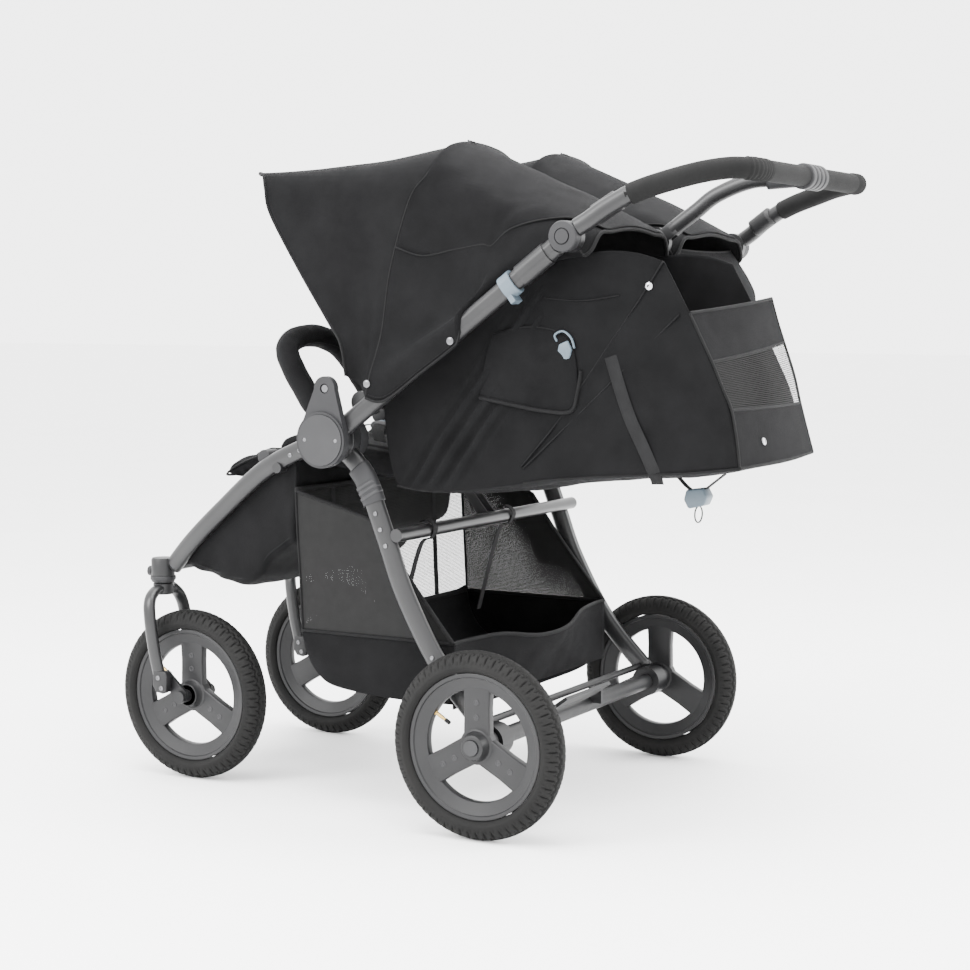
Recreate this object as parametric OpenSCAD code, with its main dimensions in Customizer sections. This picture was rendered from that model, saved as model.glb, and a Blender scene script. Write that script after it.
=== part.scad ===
// Folding double stroller, side by side, with four air tyres.
// Front is -Y, the handle is towards +Y, the child's left is +X, and the ground is Z = 0.

/* [Frame] */
// Height of the folding hubs above the ground
hub_h = 627; // [560:1:700]
// Distance between the front and rear axles
wheelbase = 657; // [600:1:720]
// How far the rear axle lies behind the hubs
rear_reach = 290; // [250:1:330]
// Length of a push tube from hub to handle joint
push_l = 542; // [480:1:620]
// Angle of the push tubes above level
push_ang = 36.6; // [30:0.2:42]
// Depth of the oval frame tubes
tube_d = 32; // [24:1:38]
// Width of the front leg tubes and their hub discs
front_w = 22; // [18:1:26]
// Width of the rear leg tubes and their hub discs
rear_w = 22; // [18:1:26]
// Width of the push tubes and their hub discs
push_w = 24; // [20:1:28]
// Gap between discs that turn past each other
disc_gap = 1; // [0.6:0.1:2]
// Radius of the hub discs
disc_r = 38; // [34:1:44]
// Radius of the pivot bolt in each hub
bolt_r = 8; // [6:0.5:10]
// Radial clearance of a running fit
fit = 0.05; // [0.02:0.01:0.1]

/* [Wheels] */
// Outer radius of the tyres
tyre_r = 152; // [130:1:170]
// Width of the tyres
tyre_w = 48; // [40:1:54]
// Distance between the two front wheel planes
front_track = 440; // [400:1:460]
// How far each front axle trails its swivel
trail = 67; // [50:1:80]
// Radius of the wheel axles
axle_r = 6; // [5:0.5:8]
// Width of the three flat spokes
spoke_w = 46; // [30:1:54]

/* [Seats] */
// Width of each seat
seat_w = 280; // [240:1:310]
// Half the gap left between the two seats
seat_gap = 18; // [18:1:26]
// Length of a seat back board
back_l = 405; // [340:1:410]
// Angle of the reclined left seat back above level
left_recline = 6; // [0:1:20]
// Angle of the upright right seat back above level
right_recline = 47; // [40:1:60]
// Thickness of the seat pads
pad_t = 22; // [16:1:28]
// Thickness of a fabric wall
cloth_t = 3; // [2:0.5:4]

/* [Handlebar] */
// Length of the foam grip bar section behind the handle joints
bar_reach = 265; // [240:1:320]
// Radius of the handlebar tube
bar_r = 13; // [11:0.5:15]
// Radius of the foam grip
grip_r = 17; // [15:0.5:22]

/* [Hidden] */
$fn = 48;

// Colours
frame_col = "#242424";
cloth_col = "#161617";
casing_col = "#3a3b3d";
trigger_col = "#6f7d88";
rubber_col = "#1b1b1b";

// Layout along Y and Z
hub_y = -40;
rear_y = hub_y + rear_reach;
front_y = rear_y - wheelbase;
swivel_y = front_y - trail;
handle_y = hub_y + push_l * cos(push_ang);
handle_z = hub_h + push_l * sin(push_ang);
head_z = 350;
clamp_r = grip_r + 4;
mid_y = (front_y - tyre_r + handle_y + bar_reach + clamp_r) / 2;

// Layers along X, from the seats outwards
seat_out = seat_gap + seat_w;
front_in = seat_out - 26;
front_x = front_in + front_w / 2;
rear_in = front_in + front_w + disc_gap;
rear_x = rear_in + rear_w / 2;
push_in = rear_in + rear_w + disc_gap;
push_x = push_in + push_w / 2;
casing_in = push_in + push_w + disc_gap;
casing_t = 16;
cap_t = 5;
wheel_gap = 7;
rear_wheel_x = rear_in + rear_w + wheel_gap + tyre_w / 2;
front_wheel_x = front_track / 2;

// Wheel sizes
tyre_ring_r = tyre_r - tyre_w / 2;
rim_r = tyre_ring_r - 13;
rim_in = rim_r - 25;
hub_r = 24;

// Pivots above the hubs, as offsets from the hub
bight = [85, -62];
canopy_pivot = [56, 62];
bumper_pivot = [-66, 26];
calf_pivot = [-182, -41];

// Edges of the soft parts along X
canopy_in = seat_gap - 1;
canopy_out = seat_out + 5;
calf_out = front_wheel_x + 6;

// A point given as an X position and an offset from the hub
function at_hub(x, p) = [x, hub_y + p[0], hub_h + p[1]];

// A smooth curve through points, n steps to a span
function spline_point(a, b, c, d, t) =
  0.5 * (2 * b + (c - a) * t + (2 * a - 5 * b + 4 * c - d) * t * t + (3 * b - a - 3 * c + d) * t * t * t);
function smooth(p, n) = let (m = len(p) - 1) concat(
  [for (i = [0:m - 1], k = [0:n - 1])
    spline_point(p[max(i - 1, 0)], p[i], p[i + 1], p[min(i + 2, m)], k / n)],
  [p[m]]);
function unit(v) = v / norm(v);
function bend(v, e) = sign(v) * pow(abs(v), e);

// Rings of a tube that follows a path; across is the direction that its width lies along
function ring(c, t, across, w, d, sides, e) =
  let (n = unit(cross(t, across)), u = unit(cross(n, t)))
  [for (k = [0:sides - 1])
    c + u * bend(cos(360 * k / sides), e) * w / 2 + n * bend(sin(360 * k / sides), e) * d / 2];
module swept(path, w, d, across = [1, 0, 0], sides = 20, e = 0.85) {
  m = len(path) - 1;
  points = [for (i = [0:m])
    each ring(path[i], unit(path[min(i + 1, m)] - path[max(i - 1, 0)]), across, w, d, sides, e)];
  walls = [for (i = [0:m - 1], k = [0:sides - 1])
    let (a = i * sides + k, b = i * sides + (k + 1) % sides)
    each [[a, a + sides, b + sides], [a, b + sides, b]]];
  start = [for (k = [0:sides - 1]) k];
  finish = [for (k = [0:sides - 1]) m * sides + sides - 1 - k];
  polyhedron(points = points, faces = concat([start], walls, [finish]));
}

// Moves the layout so that the middle of the whole length is at Y = 0
module placed() translate([0, -mid_y, 0]) children();
module side(s) placed() mirror([s < 0 ? 1 : 0, 0, 0]) children();

// A cylinder along X, from x0 to x1, at a height and a distance back
module across(x0, x1, y, z, r) translate([x0, y, z]) rotate([0, 90, 0]) cylinder(h = x1 - x0, r = r);
module across_hub(x0, x1, p, r) across(x0, x1, hub_y + p[0], hub_h + p[1], r);
// A flat outline of offsets from the hub, made solid from x0 to x1
module plate(x0, x1, outline)
  translate([x0, hub_y, hub_h]) rotate([90, 0, 90]) linear_extrude(x1 - x0) polygon(outline);
// An outline of two round ends and flat sides
module oval(w, d) {
  square([w, d - w], center = true);
  for (k = [-1, 1]) translate([0, k * (d - w) / 2]) circle(d = w);
}
// Places children with their Z along the push tube, from the hub
module along_push(x, l) translate([x, hub_y, hub_h]) rotate([push_ang - 90, 0, 0]) translate([0, 0, l]) children();

// ---- front frame, fixed ----

// Offsets of the front leg's centre line from the hub, then of its front end from the swivel
leg_top = [[-30, -7], [-75, -17], [-178, -62], [-286, -140]];
keel_top = [[-10, -34], [-75, -44], [-178, -78], [-286, -150]];
function leg_path(x0, x1, top) = smooth(concat(
  [for (i = [0:3]) at_hub(x0 + (x1 - x0) * [0, 0.05, 0.3, 0.62][i], top[i])],
  [[x0 + (x1 - x0) * 0.84, swivel_y + 74, head_z + 78], [x1, swivel_y + 24, head_z + 30]]), 4);

module front_legs() {
  color(frame_col) for (s = [1, -1]) side(s) {
    swept(leg_path(front_x, front_wheel_x, leg_top), front_w, tube_d);
    translate([front_wheel_x, swivel_y, head_z]) swivel_head();
    across_hub(calf_out + 1, calf_out + 34, calf_pivot, 13);
    across_hub(calf_out - 16, calf_out + 2, calf_pivot, 5);
  }
}

// The upright bearing housing that a front fork turns in
head_r = 21;
head_l = 44;
stem_r = 8;
module swivel_head() difference() {
  cylinder(h = head_l, r = head_r);
  translate([0, 0, -1]) cylinder(h = head_l - 7, r = stem_r + fit);
}

cross_r = 9;
module front_cross() {
  color(frame_col) placed() {
    swept(leg_path(0, 0, keel_top), 20, 26);
    across(-front_x, front_x, hub_y - 140, hub_h - 56, cross_r);
    across(-front_wheel_x, front_wheel_x, swivel_y + 24, head_z + 30, cross_r);
  }
}

// Offsets of the hub casing's outline above the disc
casing_top = [6, 84];
casing_r = 46;
casing_top_r = 20;
module hub_casing(s) {
  color(casing_col) side(s) difference() {
    union() {
      across_hub(front_in, front_in + front_w, [0, 0], disc_r);
      across_hub(front_in + 1, casing_in + 1, [0, 0], bolt_r);
      across_hub(casing_in, casing_in + casing_t, [0, 0], casing_r);
      across_hub(casing_in, casing_in + casing_t - 4, casing_top, casing_top_r);
      plate(casing_in, casing_in + casing_t - 4, [[-casing_r + 2, 12], [casing_r - 2, 12],
        [casing_top[0] + casing_top_r - 0.5, casing_top[1]], [casing_top[0] - casing_top_r + 0.5, casing_top[1]]]);
      plate(front_in, front_in + 5.5, [[-30, 0], [0, 37], bumper_pivot + [-6, 9], bumper_pivot + [-10, -6]]);
      across_hub(front_in - 18, front_in + 5.5, bumper_pivot, bumper_pin_r);
    }
    across_hub(casing_in + casing_t - 8, casing_in + casing_t, casing_top, 8);
    across_hub(casing_in + casing_t - cap_t, casing_in + casing_t + 1, [0, 0], casing_r - 4);
  }
}

module hub_caps() {
  color("#2f3032") for (s = [1, -1]) side(s) difference() {
    across_hub(casing_in + casing_t - cap_t, casing_in + casing_t + 2, [0, 0], casing_r - 4.3);
    for (k = [-1, 1]) across_hub(casing_in + casing_t, casing_in + casing_t + 3, [k * 30, 0], 3.6);
  }
}

module frame_screws() {
  color("#4a4b4e") for (s = [1, -1]) side(s) {
    for (k = [-1, 1]) across_hub(casing_in + casing_t, casing_in + casing_t + 1.4, [k * 30, 0], 3.2);
    across_hub(casing_in + casing_t - 8, casing_in + casing_t - 5.5, casing_top, 6);
  }
}

// The centre hub: two cheeks that hold the centre push tube's lug
lug_half = 6;
cheek_t = 3.5;
module centre_hub() {
  color(casing_col) side(1) {
    for (s = [1, -1]) mirror([s < 0 ? 1 : 0, 0, 0]) {
      across_hub(lug_half + 0.5, lug_half + 0.5 + cheek_t, [0, 0], 26);
      plate(lug_half + 0.5, lug_half + 0.5 + cheek_t, [[-14, -24], [4, -24], [-20, 18], bumper_pivot + [0, 8],
        bumper_pivot + [-8, -6]]);
      across_hub(lug_half + 1, bumper_low - 6, bumper_pivot, bumper_pin_r);
    }
    across_hub(-lug_half - 1, lug_half + 1, [0, 0], 6);
  }
}

// ---- seats, footwell and basket, fixed ----

seat_in = seat_gap + 2;
base_out = front_in - 24;
base_top = -4;
module seat_base(s) {
  color(cloth_col) side(s) plate(seat_in, base_out, [[-168, -36], [-168, -18], [-158, base_top - 2],
    [-146, base_top], [bight[0] - 16, bight[1] + 26], [bight[0] - 6, bight[1] + 16], [bight[0] - 6, bight[1] + 2],
    [bight[0] - 16, bight[1] - 4]]);
}

// The footwell's floor, as heights along the length from the swivel to the seat's front
footwell_line = [[58, 34], [92, 20], [166, 11], [188, 4], [229, 24], [247, 51], [312, 92], [316, 150]];
footwell_out = front_wheel_x - head_r - 4;
module footwell() {
  color(cloth_col) for (s = [1, -1]) side(s)
    translate([0, swivel_y, head_z]) rotate([90, 0, 90]) {
      translate([0, 0, seat_gap - 2]) linear_extrude(footwell_out - seat_gap + 2) polygon(concat(footwell_line,
        [for (i = [len(footwell_line) - 1:-1:0]) footwell_line[i] + [i > 5 ? -cloth_t : 0, i > 5 ? 0 : cloth_t]]));
      translate([0, 0, footwell_out - cloth_t]) linear_extrude(cloth_t)
        polygon(concat(footwell_line, [[200, 118], [90, 70]]));
    }
}

basket_half = rear_in - front_w + 7;
basket_z = 188;
band_h = 108;
basket_front = -90;
basket_rear = 204;
module basket_tray() {
  color(cloth_col) placed() difference() {
    translate([-basket_half, hub_y + basket_front, basket_z])
      cube([2 * basket_half, basket_rear - basket_front, band_h]);
    translate([-basket_half + cloth_t, hub_y + basket_front + cloth_t, basket_z + cloth_t])
      cube([2 * (basket_half - cloth_t), basket_rear - basket_front - 2 * cloth_t, band_h]);
  }
}

mesh_low = basket_z + band_h;
mesh_high = -92;
module basket_mesh() {
  z0 = mesh_low - hub_h;
  outline = [[basket_front, z0], [basket_rear, z0], [basket_front + 205, z0 + 110],
    [basket_front + 142, mesh_high - 44], [basket_front - 12, mesh_high]];
  color(cloth_col) placed() difference() {
    plate(-basket_half, basket_half, outline);
    plate(-basket_half + cloth_t, basket_half - cloth_t, [[basket_front + cloth_t, z0 - 1], [basket_rear + 5, z0 - 1],
      [basket_rear + 5, mesh_high + 5], [basket_front - 12 + cloth_t, mesh_high + 5]]);
  }
}

// ---- push frame, turns forward about the hubs to fold ----

joint_r = 24;
sleeve_l = 99;
module push_tube(s) {
  color(frame_col) side(s) difference() {
    union() {
      across_hub(push_in, push_in + push_w, [0, 0], disc_r);
      along_push(push_x, 24) linear_extrude(push_l - 24) oval(push_w - 1, tube_d);
      along_push(push_x, push_l - sleeve_l) linear_extrude(58) oval(push_w + 5, tube_d + 5);
      across(push_in, push_x + 1, handle_y, handle_z, joint_r);
      across_hub(canopy_out - cloth_t - 0.6, push_in + 4, canopy_pivot, 11);
      across_hub(push_in, push_in + 6, canopy_pivot, 18);
    }
    across_hub(push_in - 1, push_in + push_w + 1, [0, 0], bolt_r + fit);
    across(push_x + 1, push_in + push_w + 1, handle_y, handle_z, joint_r + 3);
  }
  color(frame_col) side(s) across(push_x, push_in + push_w - 5, handle_y, handle_z, 7);
}

module push_tube_centre() {
  color(frame_col) side(1) difference() {
    union() {
      across_hub(-lug_half, lug_half, [0, 0], 24);
      along_push(0, 14) linear_extrude(82) oval(2 * lug_half, 26);
      along_push(0, 92) linear_extrude(push_l - 92 - 30) oval(20, 28);
      along_push(0, push_l - 34) linear_extrude(34) oval(2 * lug_half, 26);
      across(-lug_half, lug_half, handle_y, handle_z, joint_r);
      across_hub(-canopy_in - cloth_t - 0.6, canopy_in + cloth_t + 0.6, canopy_pivot, 6);
    }
    across_hub(-lug_half - 1, lug_half + 1, [0, 0], 6 + fit);
    across(-lug_half - 1, lug_half + 1, handle_y, handle_z, 6 + fit);
  }
}

// The side panels of the seats' fabric, hung from the push frame
wing_in = seat_out - 12;
wing_top = [[250, 150], [120, 85], [74, 50]];
module side_wings() {
  color(cloth_col) {
    side(1) plate(wing_in, wing_in + cloth_t, concat([[60, -55], [116, -78], [298, -74], [298, 196]], wing_top));
    side(-1) plate(wing_in, wing_in + cloth_t, concat([[62, -50], [92, -46], [300, 176]], wing_top));
  }
}

trigger_at = 408;
trigger_l = 48;
trigger_gap = 0.4;
module fold_trigger(s) {
  color(trigger_col) side(s) along_push(push_x, trigger_at) difference() {
    union() {
      linear_extrude(trigger_l - 26) oval(push_w + 8, tube_d + 9);
      translate([-push_w / 2, 0, 0]) cube([push_w, tube_d / 2 + 12, 9]);
    }
    translate([0, 0, -1]) linear_extrude(trigger_l) oval(push_w + 2 * trigger_gap, tube_d + 2 * trigger_gap);
  }
}

// ---- handlebar ----

// Offsets of the arms' centre lines from the handle joint; the outer arms close in towards the rear bar
arm_line = [[7, 8, 6], [1, 36, 24], [-7, 66, 45], [-17, 112, 69], [-33, 170, 85], [-58, 222, 97]];
arm_centre_line = [[0, 8, 6], [0, 36, 26], [0, 70, 50], [0, 108, 76], [0, 172, 97], [0, bar_reach - 19, 96]];
bar_rise = 99;
function arm_path(x, line) = smooth([for (p = line) [x + p[0], handle_y + p[1], handle_z + p[2]]], 3);
module handlebar() {
  color(frame_col) placed() {
    for (s = [1, -1]) mirror([s < 0 ? 1 : 0, 0, 0]) {
      difference() {
        swept(arm_path(push_x, arm_line), 2 * bar_r, 2 * bar_r + 2);
        across(push_in - 2, push_x + 1.4, handle_y, handle_z, joint_r + 1.5);
        across(push_x + 1, push_in + push_w + 9, handle_y, handle_z, 12);
      }
      difference() {
        across(push_x + 1.5, push_in + push_w + 7, handle_y, handle_z, joint_r);
        across(push_x, push_in + push_w - 4, handle_y, handle_z, 7 + fit);
        across(push_in + push_w - 3, push_in + push_w + 8, handle_y, handle_z, 11.5);
      }
      across(lug_half + 0.5, lug_half + 5, handle_y, handle_z, joint_r - 3);
      swept([[8.2, handle_y + 14, handle_z + 10], [8.2, handle_y + 32, handle_z + 23]], 4.4, 24);
    }
    across(-lug_half - 1, lug_half + 1, handle_y, handle_z, 6);
    difference() {
      swept(arm_path(0, arm_centre_line), 21, 2 * bar_r);
      across(-lug_half - 0.5, lug_half + 0.5, handle_y, handle_z, joint_r + 4);
    }
  }
}

module handle_grip() {
  near = [push_x - 46, handle_y + bar_reach - 66, handle_z + 93];
  rear = [push_x - 116, handle_y + bar_reach, handle_z + bar_rise];
  half = smooth([near, [push_x - 65, handle_y + bar_reach - 30, handle_z + bar_rise + 1],
    [push_x - 88, handle_y + bar_reach - 8, handle_z + bar_rise + 1], rear], 5);
  whole = concat(half, [for (i = [len(half) - 1:-1:0]) [-half[i][0], half[i][1], half[i][2]]]);
  color(rubber_col) placed() {
    swept(whole, 2 * grip_r, 2 * grip_r, [0, 0, 1]);
    for (x = [-24, -10, 10, 24]) across(x - 5, x + 5, handle_y + bar_reach, handle_z + bar_rise, clamp_r);
    swept([[0, handle_y + bar_reach - 70, handle_z + 96], [0, handle_y + bar_reach - 8, handle_z + bar_rise]], 24, 30);
  }
}

module handle_button(s) {
  color(trigger_col) side(s) across(push_in + push_w, push_in + push_w + 9, handle_y, handle_z, 11);
}

// ---- rear legs, turn forward under the seats ----

leg_rear = [[20, -24], [52, -61], [94, -163], [130, -254], [196, -366]];
axle_z = tyre_r;
module rear_legs() {
  color(frame_col) for (s = [1, -1]) side(s) {
    difference() {
      across_hub(rear_in, rear_in + rear_w, [0, 0], disc_r);
      across_hub(rear_in - 1, rear_in + rear_w + 1, [0, 0], bolt_r + fit);
    }
    swept(smooth(concat([for (p = leg_rear) at_hub(rear_x, p)], [[rear_x, rear_y - 12, axle_z + 20]]), 4),
      rear_w - 1, tube_d + 2);
  }
}

cross_at = [118, -154];
module rear_cross() {
  color(frame_col) side(1) {
    across_hub(1 - rear_in - rear_w, rear_in + rear_w - 1, cross_at, 11);
    for (s = [1, -1]) mirror([s < 0 ? 1 : 0, 0, 0]) difference() {
      union() {
        plate(lug_half + cheek_t + 1.2, lug_half + cheek_t + 4.2, [[-9, -15], [9, -9], cross_at + [9, 2], cross_at - [7, 6]]);
        across_hub(lug_half + cheek_t + 1.2, lug_half + cheek_t + 4.2, [0, 0], 15);
      }
    }
  }
}

axle_tube_r = 14;
housing_r = 27;
spindle_end = rear_wheel_x + 14;
pin_ring_r = 17;
pin_r = 3.5;
pedal_at = [rear_y + 21, axle_z + 24];
module rear_axle() {
  color(frame_col) side(1) {
    across(-rear_in, rear_in, rear_y, axle_z, axle_tube_r);
    across(-rear_in, rear_in, rear_y - 22, axle_z + 24, 6);
    for (s = [1, -1]) mirror([s < 0 ? 1 : 0, 0, 0]) {
      difference() {
        union() {
          across(rear_in - 14, rear_in + rear_w, rear_y, axle_z, housing_r);
          across(rear_in, spindle_end, rear_y, axle_z, axle_r);
        }
        across(rear_in, rear_in + rear_w + 1, rear_y, axle_z - pin_ring_r, pin_r + 0.3);
      }
    }
    for (x = [-38, 138]) difference() {
      translate([x, rear_y + 6, axle_z + 4]) cube([6, 24, 28]);
      across(x - 1, x + 7, pedal_at[0], pedal_at[1], 4 + fit);
    }
  }
}

module brake_pedal() {
  color(frame_col) side(1) {
    across(-38, 144, pedal_at[0], pedal_at[1], 4);
    translate([-30, pedal_at[0], pedal_at[1]]) rotate([36, 0, 0]) translate([0, -3, -3]) cube([166, 36, 6]);
  }
}

module brake_pin(s) {
  color("#8c8d90") side(s) across(rear_in + 1, rear_in + rear_w + 0.5, rear_y, axle_z - pin_ring_r, pin_r);
}

// ---- wheels ----

module wheel_at(x, y) translate([x, y, axle_z]) rotate([0, 90, 0]) children();

module tyre(x, y) {
  color(rubber_col) wheel_at(x, y) difference() {
    rotate_extrude($fn = 96) translate([tyre_ring_r, 0]) circle(d = tyre_w);
    translate([0, 0, -tyre_w]) cylinder(h = 2 * tyre_w, r = rim_r, $fn = 96);
  }
}

// half_in and half_out are the hub's lengths towards and away from the middle; brake_holes for a rear wheel
module rim(x, y, half_in, half_out, brake_holes) {
  color(frame_col) wheel_at(x, y) difference() {
    union() {
      difference() {
        translate([0, 0, -15]) cylinder(h = 30, r = rim_r - 0.05, $fn = 96);
        translate([0, 0, -16]) cylinder(h = 32, r = rim_in, $fn = 96);
      }
      translate([0, 0, -half_in]) cylinder(h = half_in + half_out, r = hub_r);
      for (a = [0, 120, 240]) rotate([0, 0, a]) translate([-rim_in - 3, -spoke_w / 2, -7]) cube([rim_in - 10, spoke_w, 14]);
    }
    translate([0, 0, -half_in - 1]) cylinder(h = half_in + half_out + 2, r = axle_r + fit);
    if (brake_holes) {
      translate([0, 0, half_out - 9]) cylinder(h = 10, r = 13);
      for (a = [0:45:315]) rotate([0, 0, a])
        translate([pin_ring_r, 0, -half_in - 1]) cylinder(h = 10, r = pin_r + 0.7, $fn = 24);
    }
  }
  color("#b08d3c") wheel_at(x, y) rotate([0, 0, 60]) translate([-rim_in - 1, 0, 0]) rotate([0, 90, 0])
    cylinder(h = 22, r = 3.2);
}

rear_hub_in = rear_wheel_x - rear_in - rear_w - 2;
rear_hub_out = 24;
front_hub_half = 22;
module quick_release(s) {
  color("#2c2c2e") side(s) across(rear_wheel_x + rear_hub_out - 5.5, rear_wheel_x + rear_hub_out + 3, rear_y, axle_z, 12.4);
}

// ---- front forks ----

blade_off = 50;
blade_w = 16;
blade_d = 22;
arm_pivot = [swivel_y + 34, axle_z + 30];
arm_t = 6;
arm_in = 34;
module fork(s) {
  color(frame_col) side(s) translate([front_wheel_x, swivel_y, 0]) {
    translate([0, 0, head_z - 18]) cylinder(h = 18 + head_l - 9, r = stem_r);
    translate([0, 0, head_z - 22]) cylinder(h = 21, r = 17);
    for (k = [-1, 1]) {
      swept(smooth([[k * 6, 0, head_z - 12], [k * 32, 2, head_z - 20], [k * blade_off, 8, head_z - 58],
        [k * blade_off, 16, axle_z + 86], [k * blade_off, 29, axle_z + 34]], 4), blade_w, blade_d, sides = 16);
      difference() {
        translate([k * blade_off - blade_w / 2, 34 - 13, axle_z + 8]) cube([blade_w, 27, 40]);
        across(k * blade_off - 12, k * blade_off + 12, 34, arm_pivot[1], 5 + fit);
      }
    }
  }
}

module fork_arm(s) {
  color(casing_col) side(s) translate([front_wheel_x, 0, 0]) {
    for (k = [-1, 1]) {
      x0 = k > 0 ? arm_in : -arm_in - arm_t;
      plate_yz(x0, x0 + arm_t, [arm_pivot + [-9, 9], arm_pivot + [-11, -3], [front_y - 4, axle_z - 13], [front_y + 12, axle_z - 6],
        [front_y + 11, axle_z + 9], arm_pivot + [9, 10]]);
      across(k > 0 ? arm_in + 1 : -blade_off - 8, k > 0 ? blade_off + 8 : -arm_in - 1, arm_pivot[0], arm_pivot[1], 5);
      across(k > 0 ? front_hub_half + 0.5 : -arm_in - 1, k > 0 ? arm_in + 1 : -front_hub_half - 0.5, front_y, axle_z, 11);
      across(k > 0 ? arm_in + arm_t - 1 : -arm_in - arm_t - 7, k > 0 ? arm_in + arm_t + 7 : -arm_in - arm_t + 1, front_y, axle_z, 11);
    }
    across(-arm_in - arm_t, arm_in + arm_t, front_y, axle_z, axle_r);
  }
}
module plate_yz(x0, x1, outline)
  translate([x0, 0, 0]) rotate([90, 0, 90]) linear_extrude(x1 - x0) polygon(outline);

module swivel_lock(s) {
  color(casing_col) side(s) translate([front_wheel_x, swivel_y - head_r - 8.5, head_z + 18]) {
    rotate([-90, 0, 0]) cylinder(h = 8, r = 9);
  }
}

// ---- canopies ----

// Side outlines, as offsets from the hub; the seam runs up the middle bow
seam = [[70, 96], [76, 180], [103, 300], [141, 392], [161, 440], [166, 478]];
front_top = [[-196, 428], [-92, 443], [29, 460], [108, 470]];
front_edge = [[46, 90], [28, 102], [8, 150], [-72, 272], [-144, 408]];
rear_top = [[222, 453], [302, 425], [407, 373], [440, 358]];
rear_edge = [[425, 318], [342, 286], [262, 228], [245, 196], [253, 157], [123, 91], [92, 82]];
seam_gap = 2;
function moved(p, v) = [for (q = p) q + v];
function backwards(p) = [for (i = [len(p) - 1:-1:0]) p[i]];

// A hood of cloth with two side walls and a top, open below and at both ends
module hood(outline, top) difference() {
  plate(canopy_in, canopy_out, outline);
  plate(canopy_in + cloth_t, canopy_out - cloth_t, concat([[top[0][0] - 110, top[0][1] - cloth_t]],
    moved(top, [0, -cloth_t]), [[top[len(top) - 1][0] + 60, top[len(top) - 1][1] - 14 - cloth_t],
    [top[len(top) - 1][0] + 60, 0], [top[0][0] - 110, 0]]));
}

module canopy_front(s) {
  color(cloth_col) side(s)
    hood(concat(front_top, backwards(moved(seam, [-seam_gap, 0])), front_edge), concat(front_top, [seam[5] - [seam_gap, 0]]));
}

module canopy_rear(s) {
  color(cloth_col) side(s)
    hood(concat(moved(seam, [seam_gap, 0]), rear_top, rear_edge), concat([seam[5] + [seam_gap, 0]], rear_top));
}

bow_r = 4;
bow_end_r = 8;
bow_edge = cloth_t + bow_r + 2.5;
module bow_ends() {
  across_hub(canopy_out - bow_edge - bow_r, canopy_out - cloth_t - 1, canopy_pivot, bow_end_r);
  across_hub(canopy_in + cloth_t + 1, canopy_in + bow_edge + bow_r, canopy_pivot, bow_end_r);
}
// A bow's path: its side goes up one edge, over the top and down the other
function bow_path(line, inset) = let (m = len(line) - 1, c = (canopy_in + canopy_out) / 2,
  half = [for (i = [0:m]) at_hub(canopy_out - bow_edge - inset[i], line[i])])
  smooth(concat(half, [for (i = [m - 1:-1:0]) [2 * c - half[i][0], half[i][1], half[i][2]]]), 3);
module canopy_bow(s) {
  c = (canopy_in + canopy_out) / 2;
  color(frame_col) side(s) {
    swept(bow_path([[57, 68], [74, 180], [102, 300], [138, 388], [156, 440], [163, 464]],
      [0, 0, 0, 0, 16, canopy_out - bow_edge - c]), 2 * bow_r, 2 * bow_r, [0.05, 1, 0.3], sides = 12);
    bow_ends();
  }
}

brim_pivot_inset = 2 * bow_r + 3;
module canopy_brim(s) {
  c = (canopy_in + canopy_out) / 2;
  color(frame_col) side(s) {
    swept(bow_path([[53, 67], [14, 150], [-66, 272], [-122, 360], [-176, 406], [-218, 424]],
      [brim_pivot_inset, brim_pivot_inset, brim_pivot_inset, brim_pivot_inset, 44, canopy_out - bow_edge - c]),
      2 * bow_r, 2 * bow_r, [0.05, 1, 0.6], sides = 12);
    across_hub(canopy_out - bow_edge - bow_r - brim_pivot_inset, canopy_out - bow_edge - bow_r - 1, canopy_pivot, bow_end_r);
    across_hub(canopy_in + bow_edge + bow_r + 1, canopy_in + bow_edge + bow_r + brim_pivot_inset, canopy_pivot, bow_end_r);
  }
}

// ---- seat backs ----

back_start = 24;
rod_r = 5;
back_in = canopy_in + bow_edge + bow_r + brim_pivot_inset + 2;
back_out = canopy_out - bow_edge - bow_r - brim_pivot_inset - 2;
module seat_back(s, recline) {
  color(cloth_col) side(s) translate([back_in, hub_y + bight[0], hub_h + bight[1]]) rotate([90, 0, 90])
    rotate([0, 0, recline]) {
      linear_extrude(back_out - back_in) polygon([[back_start, 3], [back_start + 6, 0], [back_l - 8, 0],
        [back_l, 4], [back_l, pad_t - 6], [back_l - 8, pad_t], [back_start + 8, pad_t], [back_start, pad_t - 5]]);
      cylinder(h = back_out - back_in, r = rod_r);
      linear_extrude(back_out - back_in) polygon([[0, -2], [back_start + 2, 3], [back_start + 2, 9], [0, 3]]);
    }
}

// The cloth boot behind each seat back, open towards the seat
boot_in = seat_gap + 6;
boot_out = wing_in + cloth_t;
module boot(outline, inside) difference() {
  plate(boot_in, boot_out, outline);
  plate(boot_in + cloth_t, boot_out - cloth_t, inside);
}
module seat_boot_left() {
  color(cloth_col) side(1) boot(
    [[302, -72], [477, -40], [627, -14], [692, -6], [642, 123], [616, 190], [436, 310], [302, 200]],
    [[290, -70], [477, -36], [625, -10], [687, -2], [638, 121], [612, 188], [600, 330], [290, 330]]);
}
module seat_boot_right() {
  color(cloth_col) side(-1) boot(
    [[124, -58], [300, -22], [440, 90], [492, 225], [479, 262], [440, 318], [370, 234], [128, -26]],
    [[120, -52], [298, -18], [437, 92], [488, 226], [475, 260], [438, 335], [340, 330], [100, -20]]);
}

// ---- bumper bars and calf rests ----

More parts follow.
